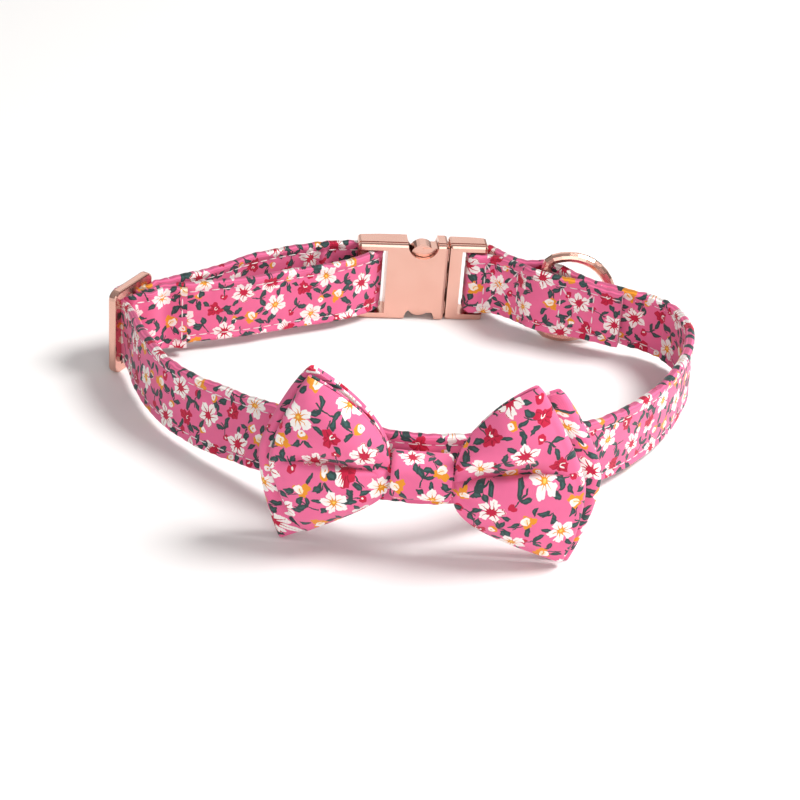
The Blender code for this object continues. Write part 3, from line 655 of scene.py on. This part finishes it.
def wing_reach(wing, height_share):
    """How far from the bow's middle a wing's end fold starts, at a height."""
    top, middle, bottom = wing["top"], wing["middle"], wing["bottom"]
    curve = (top + bottom) / 2 - middle
    bent = 0.5 * height_share**2 + 0.5 * (sqrt(height_share**2 + 0.01) - 0.1) / 0.905
    reach = (middle + (top - bottom) / 2 * height_share + curve * bent) * BOW_HEIGHT
    return reach - fold_radius(height_share) - SHOWN_CLOTH / 2


def wing_half(wing, x, height_share):
    """Half the wing's height and its middle's height, at a distance from the bow's middle."""
    above = ("top", "up", "flare_up")
    below = ("bottom", "down", "flare_down")
    corner, tall, flare = (wing[name] for name in (above if height_share > 0 else below))
    spread = min(max((x - KNOT_EDGE) / (corner * BOW_HEIGHT - KNOT_EDGE), 0), 1)
    half = PINCHED_HALF + (tall * BOW_HEIGHT - PINCHED_HALF) * spread**flare
    return half, BOW_Z - KNOT_DROP * (1 - spread) ** 2


def crease_height(wing, share):
    """Where the wing's crease runs, as a share of its half height."""
    along = max(share, 0)
    x = KNOT_EDGE + (wing["middle"] * BOW_HEIGHT - KNOT_EDGE) * along
    half, middle = wing_half(wing, x, 1)
    line = BOW_Z - KNOT_DROP + (wing["near"] + (wing["far"] - wing["near"]) * along) * BOW_HEIGHT
    return min(0.42, max(-0.3, (line - middle) / half)) * min(1, 1 + share)


def wing_place(wing, side, share, t, wall, depth_at, bow):
    """A point of a wing's wall and its place on the flat cloth.

    Share runs from the bow's middle, -1, over the knot's edge, 0, to the end fold, 1, and t from
    the lower edge, -1, over the crease, 0, to the top, 1.
    """
    creased = wall == bow["outward"] and share > 0
    line = crease_height(wing, share) * bow["crease"]
    folded = bow["crease"] * min(1, 5 * share) * (1 - share**5) if creased else 0
    u = max(-t, 0) / OVERLAP_AT
    rise = t + folded * OVERLAP * u * u * exp(2 - 2 * u) * (1 + min(t, 0))
    height_share = line + rise * (1 - line if t > 0 else 1 + line)
    flat_share = line + t * (1 - line if t > 0 else 1 + line)
    fold_start = wing_reach(wing, flat_share)
    x = KNOT_EDGE + (fold_start - KNOT_EDGE) * share if share > 0 else KNOT_EDGE * (1 + share)
    half, middle = wing_half(wing, x, height_share)
    opened = 0
    if creased:
        valley = folded * hump(t, 0, VALLEY_ABOVE if t > 0 else VALLEY_BELOW)
        puff = sin(pi * share) ** 0.8 * (1 - abs(t) ** 2.6)
        lobe = 1 if t > 0 else LOWER_LOBE
        spread = 2 * (fold_radius(flat_share) - SHOWN_PINCH) * min(share * 2, 1)
        opened = spread * (1 - 0.85 * valley)
        opened += bow["bulge"] * puff * (lobe - (lobe - 0.05) * valley)
        gather = exp(-4.0 * share) * min(1, share * 12) * (1 - abs(t) ** 3)
        for depth, waves, phase in PLEATS:
            opened += bow["pleat"] * depth * gather * cos(waves * flat_share + phase * side)
        slow = noise.noise(Vector((side * share * 2.2, flat_share * 2.1, bow["seed"])))
        opened += bow["pleat"] * 0.8 * slow * min(1, share * 3) * (1 - share**3) * (1 - t**4)
    sweep = BOW_SWEEP * (x / BOW_HEIGHT) ** 2
    y = depth_at + wall * (SHOWN_PINCH + max(opened, 0)) + sweep
    place = Vector((BOW_X + side * x, y, middle + height_share * half))
    along = x
    if wall != bow["outward"]:
        along = 2 * fold_start + pi * fold_radius(flat_share) - x
    tall = flat_share * (0.08 * BOW_HEIGHT / 2 + 0.92 * half)
    return place, along, tall, fold_start, flat_share


def wall_shares(columns, power):
    """Shares along a wing's wall: three behind the knot, and then closest together beside it."""
    return [-1, -0.5, -0.001] + [(k / columns) ** power for k in range(1, columns + 1)]


def bow_mesh(left, right, depth_at, bow):
    """One closed loop of cloth: the outward wall of each wing, its end fold and the wall behind."""
    outward = bow["outward"]
    fine = wall_shares(FINE_COLUMNS, 1.2)
    coarse = wall_shares(COARSE_COLUMNS, 1.1)
    walks = []
    for side, wing in ((1, WINGS[right]), (-1, WINGS[left])):
        walk = [(side, wing, share, outward, 0) for share in fine]
        walk += [(side, wing, 1, outward, turn) for turn in (22, 45, 67, 90, 112, 135, 158)]
        walk += [(side, wing, share, -outward, 0) for share in reversed(coarse)]
        walks += walk if side > 0 else walk[::-1]
    heights = [(k / BOW_ROWS) ** 1.45 for k in range(BOW_ROWS + 1)]
    heights = [-t for t in reversed(heights[1:])] + heights

    def spot(i, j):
        side, wing, share, wall, turn = walks[i]
        point, along, tall, fold_start, flat_share = wing_place(
            wing, side, share, heights[j], wall, depth_at, bow
        )
        if turn:
            angle = radians(turn)
            radius = fold_radius(flat_share)
            point.x += side * radius * sin(angle)
            point.y -= outward * radius * (1 - cos(angle))
            along = fold_start + radius * angle
        return point + OFFSET, (side * along, tall)

    return wrapped_grid(len(walks) - 1, 2 * BOW_ROWS, spot)


def rounded_outline(width, height, radius, steps):
    """Corners of a rounded rectangle about the origin with the distance walked to each."""
    points = []
    for turn, (sx, sz) in enumerate(((1, 1), (-1, 1), (-1, -1), (1, -1))):
        for i in range(steps + 1):
            angle = radians(90 * turn + 90 * i / steps)
            x = sx * (width / 2 - radius) + radius * cos(angle)
            z = sz * (height / 2 - radius) + radius * sin(angle)
            points.append((x, z))
    points.append(points[0])
    walked = [0.0]
    for a, b in zip(points, points[1:]):
        walked.append(walked[-1] + dist(a, b))
    return points, walked


KNOT_STEPS = 8
KNOT_SLICES = 20
KNOT_EDGE_FROM = 0.88


def knot_mesh():
    """The band round the bows' waists: its outer face, its rounded edges and its inner face."""
    middle_y = (KNOT_BACK + KNOT_FRONT) / 2
    deep = KNOT_BACK - KNOT_FRONT
    half_width = KNOT_WIDTH / 2
    _, walked = rounded_outline(deep, KNOT_HEIGHT, KNOT_CORNER, KNOT_STEPS)
    spots = [-1 + 2 * k / KNOT_SLICES for k in range(KNOT_SLICES + 1)]
    profile = []
    for face, along in [(1, spot) for spot in spots] + [(-1, -spot) for spot in spots]:
        edge = max(0, (abs(along) - KNOT_EDGE_FROM) / (1 - KNOT_EDGE_FROM))
        inset = KNOT_CLOTH * (0.5 - face * 0.5 * sqrt(max(0, 1 - edge**2)))
        flat = half_width * along
        profile.append((along, inset, flat if face > 0 else KNOT_WIDTH - flat))
    profile.append(profile[0])
    outlines = []
    for _, inset, _ in profile:
        sides = (deep - 2 * inset, KNOT_HEIGHT - 2 * inset)
        outlines.append(rounded_outline(*sides, KNOT_CORNER - inset, KNOT_STEPS)[0])

    def spot(i, j):
        y, z = outlines[j][i]
        along, inset, flat = profile[j]
        outer = inset < KNOT_CLOTH / 2
        wave = KNOT_WAVE * noise.noise(Vector((along * 2.5, z * 200, 1.7))) if outer else 0
        y = middle_y + y + copysign(wave, y)
        place = Vector((BOW_X + along * half_width, y, BOW_Z - KNOT_DROP + z))
        return place + OFFSET, (walked[i], flat)

    return wrapped_grid(len(walked) - 1, len(profile) - 1, spot)


# Materials


def wire_in(tree, source, socket):
    """Links a source to a socket, or sets the socket where the source is a plain value."""
    source = getattr(source, "socket", source)
    if isinstance(source, bpy.types.NodeSocket):
        tree.links.new(source, socket)
    else:
        socket.default_value = source


def add_node(tree, kind, *sources, **settings):
    node = tree.nodes.new("ShaderNode" + kind)
    for name, value in settings.items():
        setattr(node, name, value)
    for source, socket in zip(sources, node.inputs):
        wire_in(tree, source, socket)
    return node


class Wire:
    """A number in a material's node tree that adds, multiplies and compares like a plain one."""

    def __init__(self, tree, socket):
        self.tree = tree
        self.socket = socket

    def put(self, operation, *others):
        node = add_node(self.tree, "Math", self, *others, operation=operation)
        return Wire(self.tree, node.outputs[0])

    def __rsub__(self, other):
        return (self * -1).put("ADD", other)

    __add__ = __radd__ = partialmethod(put, "ADD")
    __sub__ = partialmethod(put, "SUBTRACT")
    __mul__ = __rmul__ = partialmethod(put, "MULTIPLY")
    __truediv__ = partialmethod(put, "DIVIDE")
    __abs__ = partialmethod(put, "ABSOLUTE")
    __lt__ = partialmethod(put, "LESS_THAN")
    __gt__ = partialmethod(put, "GREATER_THAN")


def parts_of(tree, socket, kind="SeparateXYZ"):
    """The three parts of a vector or colour."""
    node = add_node(tree, kind, socket)
    return [Wire(tree, node.outputs[k]) for k in range(3)]


def noise_over(tree, place, scale, detail=2):
    node = add_node(tree, "TexNoise", place)
    node.inputs["Scale"].default_value = scale
    node.inputs["Detail"].default_value = detail
    return node


def add_bump(tree, shader, height, strength, distance):
    bump = add_node(tree, "Bump")
    bump.inputs["Strength"].default_value = strength
    bump.inputs["Distance"].default_value = distance
    tree.links.new(height.socket, bump.inputs["Height"])
    tree.links.new(bump.outputs[0], shader.inputs["Normal"])


def new_material(name):
    material = bpy.data.materials.new(name)
    material.use_nodes = True
    return material, material.node_tree, material.node_tree.nodes["Principled BSDF"]


def edge_mask(inside, softness=0.06):
    """1 where inside is above zero, with a soft edge."""
    return (inside / softness).put("ADD", 0.5).put("MINIMUM", 1).put("MAXIMUM", 0)


def between(value, low, high):
    return (value > low) * (value < high)


def cosine(angle):
    return angle.put("COSINE")


def around(px, py):
    return py.put("ARCTAN2", px)


def paint(tree, below, colour, mask):
    """Lays a colour over what is below, where mask is 1."""
    mix = add_node(tree, "Mix", mask, data_type="RGBA")
    for value, socket in ((below, mix.inputs[6]), (colour, mix.inputs[7])):
        plain = not isinstance(value, bpy.types.NodeSocket)
        wire_in(tree, (*value, 1) if plain else value, socket)
    return mix.outputs[2]


# The print's units to a metre, how far its painted edges wander in metres, and how widely a motif's
# place in its cell varies, in units
UNITS = 930
BRUSH_WANDER = 0.0017
JITTER = 1.6


def motif_places(tree, x, y, size, shift, seed):
    """The nearest motif of one kind: place in its own turned axes, and two random numbers."""
    cell_x, cell_y = (x + shift[0]) / size, (y + shift[1]) / size
    column, row = cell_x.put("FLOOR"), cell_y.put("FLOOR")
    cell = add_node(tree, "CombineXYZ", column, row, seed)
    random = add_node(tree, "TexWhiteNoise", cell.outputs[0], noise_dimensions="3D")
    r1, r2, r3 = parts_of(tree, random.outputs["Color"], "SeparateColor")
    pick = Wire(tree, random.outputs["Value"])
    px = (cell_x - column - 0.5) * size + (r1 - 0.5) * JITTER
    py = (cell_y - row - 0.5) * size + (r2 - 0.5) * JITTER
    angle = r3 * (2 * pi)
    c, s = cosine(angle), angle.put("SINE")
    return px * c + py * s, py * c - px * s, pick, (r1 * 7.31 + r2 * 3.77).put("FRACT")


def away(px, py, x=0.0, y=0.0):
    """Distance from a point of the motif."""
    dx, dy = px - x, py - y
    return (dx * dx + dy * dy).put("SQRT")


def turned(px, py, angle):
    """How far a place is along a direction in degrees, and how far to its left."""
    c, s = cos(radians(angle)), sin(radians(angle))
    return px * c + py * s, py * c - px * s


def leaf(px, py, angle, reach, length, width, bend):
    """Masks of one pointed leaf and of its paler middle."""
    along, left = turned(px, py, angle)
    along = along - reach
    off = abs(left + along * along * bend)
    share = along / length
    full = (1 - share * share) * width
    return edge_mask(full - off, 0.1), (off < (full - 0.30) * 0.6) * (along > -0.3 * length)


def stem(px, py, angle, reach, length, bend):
    along, left = turned(px, py, angle)
    off = left + along * along * bend
    return (abs(off) < 0.17) * between(along, reach, reach + length)


def rays(angle, radius, count, width, reach):
    """Brush lines that run out from a motif's middle and taper."""
    off = abs((angle * (count / 2)).put("SINE")) * radius * (2 / count)
    return off < (1 - radius / reach) * width


def print_group(sizes, colours):
    """A small-flower print: white flowers, red blooms, amber buds and leaf sprigs."""
    tree = bpy.data.node_groups.new("Small flower print", "ShaderNodeTree")
    tree.interface.new_socket("Place", in_out="INPUT", socket_type="NodeSocketVector")
    tree.interface.new_socket("Color", in_out="OUTPUT", socket_type="NodeSocketColor")
    entry = tree.nodes.new("NodeGroupInput")
    brush = noise_over(tree, entry.outputs[0], 480)
    wander = (BRUSH_WANDER, BRUSH_WANDER, 0)
    sources = (brush.outputs["Color"], wander, entry.outputs[0])
    bent = add_node(tree, "VectorMath", *sources, operation="MULTIPLY_ADD")
    u, v = (part * UNITS for part in parts_of(tree, bent.outputs[0])[:2])
    x, y = turned(u, v, 23)
    size = sizes.motif * UNITS
    half = size / 2
    petal, crimson, amber = colours.petal, colours.crimson, colours.amber
    green, teal = colours.leaf, colours.leaf_vein
    cream = (0.93, 0.80, 0.58)
    wine = (0.33, 0.008, 0.035)
    orange = (0.93, 0.62, 0.12)

    def painted(below, *layers):
        for colour, mask in layers:
            below = paint(tree, below, colour, mask)
        return below

    def sprig(colour, px, py, stems, leaves):
        for row in stems:
            colour = painted(colour, (green, stem(px, py, *row)))
        for row in leaves:
            mask, middle = leaf(px, py, *row)
            colour = painted(colour, (green, mask), (teal, middle))
        return colour

    # Leaf sprigs with a small red bud, then leaf pairs with a small cream one
    px, py, pick, _ = motif_places(tree, x, y, size, (half, 0), 3.5)
    leaves = ((125, 1.7, 1.65, 0.72, 0.14), (28, 1.6, 1.45, 0.66, -0.16))
    colour = sprig(colours.ground, px, py, ((80, -2.4, 4.4, 0.10),), leaves)
    bud = edge_mask(0.95 + 0.25 * cosine(around(px, py) * 6) - away(px, py, -0.2, -2.3))
    colour = painted(
        colour,
        (crimson, bud * (pick > 0.35)),
        (petal, (away(px, py, -0.05, -2.2) < 0.26) * (pick > 0.6)),
    )
    px, py, pick, _ = motif_places(tree, x, y, size, (0, half), 12.5)
    leaves = ((165, 2.0, 1.55, 0.66, 0.16), (262, 1.4, 1.45, 0.64, -0.14))
    colour = sprig(colour, px, py, ((200, 0.0, 2.6, 0.16),), leaves)
    shown = pick > 0.4
    colour = painted(
        colour,
        (amber, edge_mask(1.05 - away(px, py, 1.15, 0.75)) * shown),
        (petal, edge_mask(0.78 - away(px, py, 1.5, 1.1)) * shown),
        (amber, (away(px, py, 1.45, 1.0) < 0.2) * shown),
    )

    # Red blooms, some with a striped white side, and amber blotches with a cream ball
    px, py, pick, other = motif_places(tree, x, y, size, (half, half), 8.5)
    leaves = (
        (172, 3.3, 1.55, 0.72, 0.14), (238, 3.2, 1.6, 0.68, -0.12), (35, 3.2, 1.4, 0.62, 0.14)
    )
    colour = sprig(colour, px, py, ((205, 1.4, 2.8, 0.10),), leaves)
    radius, angle = away(px, py), around(px, py)
    red = pick > 0.38
    ragged = cosine(angle * 3 + other * 6) * 0.38 + cosine(angle * 8) * 0.20
    bloom = edge_mask(1.95 + ragged - radius) * red
    striped = edge_mask(2.6 + cosine(angle * 6) * 0.45 - radius)
    striped = striped * (pick > 0.70) * (px + 0.25 * py > 0.35)
    curl = between(away(px, py, -0.35, 0.5), 0.36, 0.62)
    curl = curl * (around(px + 0.35, py - 0.5) + other * 3 < 2.2)
    yellow = 1 - red
    ball = edge_mask(1.15 - away(px, py, -0.55, 0.45)) * yellow
    colour = painted(
        colour,
        (crimson, bloom),
        (wine, bloom * rays(angle, radius, 7, 0.22, 2.6) * (radius > 0.6)),
        (petal, striped),
        (crimson, striped * rays(angle, radius, 18, 0.22, 2.5)),
        (petal, bloom * curl * (pick < 0.70)),
        (amber, edge_mask(1.75 + ragged - radius) * yellow),
        (petal, ball),
        (cream, ball * (away(px, py, -0.25, 0.2) < 0.75)),
        (amber, ball * (abs(px + 0.35 - 0.3 * py) < 0.12) * (py < 0.8)),
    )

    # Open white flowers over the rest: crimson veins or an amber star
    px, py, pick, other = motif_places(tree, x, y, size, (0, 0), 5.5)
    leaves = (
        (75, 3.75, 1.5, 0.70, 0.12), (118, 3.7, 1.25, 0.62, -0.14), (255, 3.8, 1.45, 0.68, -0.12)
    )
    colour = sprig(colour, px, py, (), leaves)
    radius, angle = away(px, py), around(px, py)
    lobes = abs(cosine(angle * 2.5))
    frayed = cosine(angle * 15) * 0.16 + cosine(angle * 26) * 0.08
    full = 1.15 + 2.15 * lobes.put("POWER", 0.55) + frayed
    flower = edge_mask(full - radius, 0.1)
    veined = pick > 0.40
    plain = 1 - veined
    rim = (abs(full - radius - 0.16) < 0.11) * ((angle + other * 6).put("SINE") > 0.25)
    star = cosine(angle * 5)
    colour = painted(
        colour,
        (petal, flower),
        (crimson, flower * rays(angle, radius, 10, 0.30, 3.1) * veined),
        (crimson, rim * (lobes > 0.35) * veined),
        (crimson, edge_mask(0.36 + star * 0.14 - radius) * veined),
        (amber, flower * rays(angle, radius, 10, 0.22, 2.4) * plain),
        (amber, edge_mask(0.45 + star * 0.2 - radius) * plain),
        (orange, edge_mask(0.34 - radius) * plain),
    )
    leave = tree.nodes.new("NodeGroupOutput")
    tree.links.new(colour, leave.inputs[0])
    return tree


def cloth_material(name, group, sizes, shift, hemmed=False):
    """Printed plain-weave cotton with a soft sheen and, on the strap, lines of painted shade in the
    grooves along its hems.
    """
    material, tree, shader = new_material(name)
    place = add_node(tree, "UVMap", uv_map="cloth")
    moved = add_node(tree, "VectorMath", place.outputs[0], (*shift, 0), operation="ADD")
    printed = add_node(tree, "Group", node_tree=group)
    tree.links.new(moved.outputs[0], printed.inputs[0])
    turns = 2 * pi / sizes.weave
    across, along, _ = parts_of(tree, moved.outputs[0])
    weave = (across * turns).put("SINE") * (along * turns).put("SINE")
    patches = Wire(tree, noise_over(tree, moved.outputs[0], 260, 3).outputs[0])
    # Brightness over the print: the weave's pattern and random patches of tone are the cloth's own;
    # on the strap, painted shade along the hems is taken off below
    light = 1 + weave * 0.07 + (patches - 0.5) * 0.16
    if hemmed:
        # Lines of painted shade in the hem's grooves, at its folded edge, just inside it and along
        # the stitches: a line's middle, half width and softness in millimetres from the edge, and
        # how dark its painted shade is
        hem_shade_lines = (
            (0.05, 0.12, 0.1, 0.40),
            (0.62, 0.10, 0.1, 0.22),
            (sizes.hem * 1000, 0.28, 0.3, 0.12),
        )
        width_share = (parts_of(tree, place.outputs[0])[1] / STRAP_WIDTH).put("FRACT")
        inward = (0.5 - abs(width_share - 0.5)) * (STRAP_WIDTH * 1000) + (patches - 0.5) * 0.3
        for middle, half, softness, shade in hem_shade_lines:
            light = light - edge_mask(half - abs(inward - middle), softness) * shade
    value = add_node(tree, "VectorMath", printed.outputs[0], operation="SCALE")
    tree.links.new(light.socket, value.inputs["Scale"])
    tree.links.new(value.outputs[0], shader.inputs["Base Color"])
    shader.inputs["Roughness"].default_value = 0.82
    shader.inputs["Specular IOR Level"].default_value = 0.25
    shader.inputs["Sheen Weight"].default_value = 0.18
    shader.inputs["Sheen Roughness"].default_value = 0.45
    add_bump(tree, shader, weave, 0.35, 0.00006)
    return material


def thread_material(colours):
    material, tree, shader = new_material("Sewing thread")
    place = add_node(tree, "TexCoord").outputs["Object"]
    twist = Wire(tree, noise_over(tree, place, 2600).outputs[0])
    dark = [0.72 * part for part in colours.thread]
    shade = paint(tree, dark, colours.thread, (twist * 1.5).put("MINIMUM", 1))
    tree.links.new(shade, shader.inputs["Base Color"])
    shader.inputs["Roughness"].default_value = 0.6
    shader.inputs["Sheen Weight"].default_value = 0.2
    return material


def metal_material(colours):
    """Polished rose gold plating with faint streaks and fine handling marks."""
    material, tree, shader = new_material("Rose gold")
    place = add_node(tree, "TexCoord").outputs["Object"]
    cloud = Wire(tree, noise_over(tree, place, 140, 4).outputs[0])
    mark = Wire(tree, noise_over(tree, place, 1500).outputs[0])
    rough = 0.20 + cloud * 0.07 + mark * 0.02
    tree.links.new(rough.socket, shader.inputs["Roughness"])
    deep = [part * share for part, share in zip(colours.metal, (0.96, 0.92, 0.90))]
    shade = paint(tree, colours.metal, deep, (cloud - 0.42) * 2.2)
    tree.links.new(shade, shader.inputs["Base Color"])
    shader.inputs["Metallic"].default_value = 1.0
    add_bump(tree, shader, mark + cloud, 0.02, 0.00005)
    return material


def floor_material(colours):
    material, _, shader = new_material("Pale floor")
    shader.inputs["Base Color"].default_value = (*colours.floor, 1)
    shader.inputs["Roughness"].default_value = 0.9
    shader.inputs["Specular IOR Level"].default_value = 0.1
    return material


def the_print(scene):
    """The print's node group, made once."""
    made = bpy.data.node_groups.get("Small flower print")
    return made or print_group(scene.collar_sizes, scene.collar_colours)


# Operators


class COLLAR_OT_strap(bpy.types.Operator):
    """Make the printed strap, woven through the slider and folded round the buckle's bars"""

    bl_idname = "collar.strap"
    bl_label = "Make strap"

    def execute(self, context):
        sizes = context.scene.collar_sizes
        band = Band(sizes)
        group = the_print(context.scene)
        cloth = cloth_material("Strap print", group, sizes, (0.013, 0.004), hemmed=True)
        strap = finished("strap_cloth", strap_mesh(band), cloth)
        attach(strap, "collar")
        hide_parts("strap")
        return {"FINISHED"}


class COLLAR_OT_stitches(bpy.types.Operator):
    """Sew the strap's hems, boxes and sewn end"""

    bl_idname = "collar.stitches"
    bl_label = "Sew strap"

    def execute(self, context):
        sizes = context.scene.collar_sizes
        thread = thread_material(context.scene.collar_colours)
        sewn = strap_stitches(Band(sizes), sizes)
        stitches = finished("strap_stitches", sewn, thread, 180)
        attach(stitches, "collar")
        return {"FINISHED"}


class COLLAR_OT_bow(bpy.types.Operator):
    """Make both bows from gathered loops of printed cloth, and the band round them"""

    bl_idname = "collar.bow"
    bl_label = "Make bow"

    def execute(self, context):
        sizes = context.scene.collar_sizes
        group = the_print(context.scene)
        rows = (
            (
                "back_bow_cloth", "bow_back", "back", BACK_BOW_Y, (0.031, 0.052),
                dict(outward=1, bulge=BOW_BACK_BULGE, crease=0, pleat=0.0002, seed=4.2),
            ),
            (
                "front_bow_cloth", "bow_front", "front", FRONT_BOW_Y, (0.105, 0.023),
                dict(outward=-1, bulge=BOW_BULGE, crease=1, pleat=0.0009, seed=9.7),
            ),
        )
        for name, node, which, depth_at, shift, bow in rows:
            cloth = cloth_material(name.replace("_", " "), group, sizes, shift)
            loop = bow_mesh(f"{which}_left", f"{which}_right", depth_at, bow)
            obj = finished(name, loop, cloth, 70)
            wall = obj.modifiers.new("cloth", "SOLIDIFY")
            wall.thickness = SHOWN_CLOTH
            wall.offset = 0
            edge = obj.modifiers.new("round edges", "BEVEL")
            edge.width = 0.25 * SHOWN_CLOTH
            edge.segments = 2
            edge.angle_limit = radians(60)
            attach(obj, "collar")
            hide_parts(node)
        cloth = cloth_material("knot cloth", group, sizes, (0.0635, 0.012))
        knot = finished("knot_cloth", knot_mesh(), cloth, 70)
        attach(knot, "collar")
        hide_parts("bow_knot")
        _, walked = rounded_outline(
            KNOT_BACK - KNOT_FRONT, KNOT_HEIGHT, KNOT_CORNER, KNOT_STEPS
        )
        return {"FINISHED"}


class COLLAR_OT_metal(bpy.types.Operator):
    """Plate the buckle, slider and ring in rose gold"""

    bl_idname = "collar.metal"
    bl_label = "Plate metal"

    def execute(self, context):
        metal = metal_material(context.scene.collar_colours)
        for node in ("buckle_socket", "buckle_plug", "slider", "d_ring"):
            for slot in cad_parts[node].material_slots:
                slot.material = metal
        return {"FINISHED"}


# Columns: name, place, size, power in watts, colour
LIGHTS = (
    ("key", (0.62, 0.03, 0.91), 0.50, 12.6, (1, 0.985, 0.97)),
    ("fill", (0.12, -0.80, 0.30), 0.7, 3.0, (1, 0.985, 0.98)),
    ("back panel", (0, 0.90, 0.47), 0.8, 1.2, (1, 0.98, 0.97)),
)
LIGHTS_AIM = Vector((0, 0, 0.02))
FLOOR_HALF = 3
WORLD_LOW = (0.16, 0.14, 0.13)
WORLD_HIGH = (1, 0.985, 0.975)

CAMERA_ELEVATION = 30
CAMERA_ROLL = 4.6
CAMERA_DISTANCE = 0.560
CAMERA_AIM = Vector((0, 0, 0.012))
CAMERA_LENS = 90
CAMERA_SENSOR = 36


def add_light(scene, name, place, size, power, colour):
    light = bpy.data.lights.new(name, "AREA")
    light.shape = "DISK"
    light.size = size
    light.energy = power
    light.color = colour
    obj = bpy.data.objects.new(name, light)
    obj.location = place
    obj.rotation_euler = (LIGHTS_AIM - Vector(place)).to_track_quat("-Z", "Y").to_euler()
    scene.collection.objects.link(obj)


def add_world(scene):
    """A soft room: dim at the horizon and bright above, so that the metal has both to reflect."""
    world = bpy.data.worlds.new("Studio")
    world.use_nodes = True
    tree = world.node_tree
    height = parts_of(tree, add_node(tree, "TexCoord").outputs["Generated"])[2]
    back = tree.nodes["Background"]
    sky = paint(tree, WORLD_LOW, WORLD_HIGH, edge_mask(height - 0.27, 0.5))
    tree.links.new(sky, back.inputs["Color"])
    back.inputs["Strength"].default_value = 0.40
    scene.world = world


def add_camera(scene):
    elevation, roll = radians(CAMERA_ELEVATION), radians(CAMERA_ROLL)
    look = Vector((0, cos(elevation), -sin(elevation)))
    upright = Vector((0, sin(elevation), cos(elevation)))
    level = Vector((1, 0, 0))
    right = level * cos(roll) + upright * sin(roll)
    up = upright * cos(roll) - level * sin(roll)
    camera = bpy.data.objects.new("camera", bpy.data.cameras.new("camera"))
    camera.data.lens = CAMERA_LENS
    camera.data.sensor_width = CAMERA_SENSOR
    camera.data.clip_start = 0.01
    turn = Matrix((right, up, -look)).transposed().to_4x4()
    place = CAMERA_AIM + OFFSET - look * CAMERA_DISTANCE
    camera.matrix_world = Matrix.Translation(place) @ turn
    scene.collection.objects.link(camera)
    scene.camera = camera


class COLLAR_OT_stage(bpy.types.Operator):
    """Make the plain floor, the soft light and the camera"""

    bl_idname = "collar.stage"
    bl_label = "Make stage"

    def execute(self, context):
        scene = context.scene
        bm = bmesh.new()
        bmesh.ops.create_grid(bm, x_segments=1, y_segments=1, size=FLOOR_HALF)
        floor = finished("floor", bm, floor_material(scene.collar_colours))
        add_world(scene)
        for light in LIGHTS:
            add_light(scene, *light)
        scene.view_settings.view_transform = "Standard"
        add_camera(scene)
        return {"FINISHED"}


class COLLAR_PT_panel(bpy.types.Panel):
    """Lists the collar's steps, sizes and colours"""

    bl_idname = "COLLAR_PT_panel"
    bl_label = "Bow tie collar"
    bl_space_type = "VIEW_3D"
    bl_region_type = "UI"
    bl_category = "Collar"

    def draw(self, context):
        for step in STEPS:
            self.layout.operator(step.bl_idname)
        for group in (context.scene.collar_sizes, context.scene.collar_colours):
            box = self.layout.box()
            for name in group.__annotations__:
                box.prop(group, name)


STEPS = (COLLAR_OT_strap, COLLAR_OT_stitches, COLLAR_OT_bow, COLLAR_OT_metal, COLLAR_OT_stage)
CLASSES = (CollarSizes, CollarColours, *STEPS, COLLAR_PT_panel)


def register():
    for item in CLASSES:
        bpy.utils.register_class(item)
    bpy.types.Scene.collar_sizes = PointerProperty(type=CollarSizes)
    bpy.types.Scene.collar_colours = PointerProperty(type=CollarColours)


def unregister():
    del bpy.types.Scene.collar_sizes
    del bpy.types.Scene.collar_colours
    for item in reversed(CLASSES):
        bpy.utils.unregister_class(item)


def main():
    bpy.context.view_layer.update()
    register()
    bpy.ops.collar.strap()
    bpy.ops.collar.stitches()
    bpy.ops.collar.bow()
    bpy.ops.collar.metal()
    bpy.ops.collar.stage()


if __name__ == "__main__":
    main()
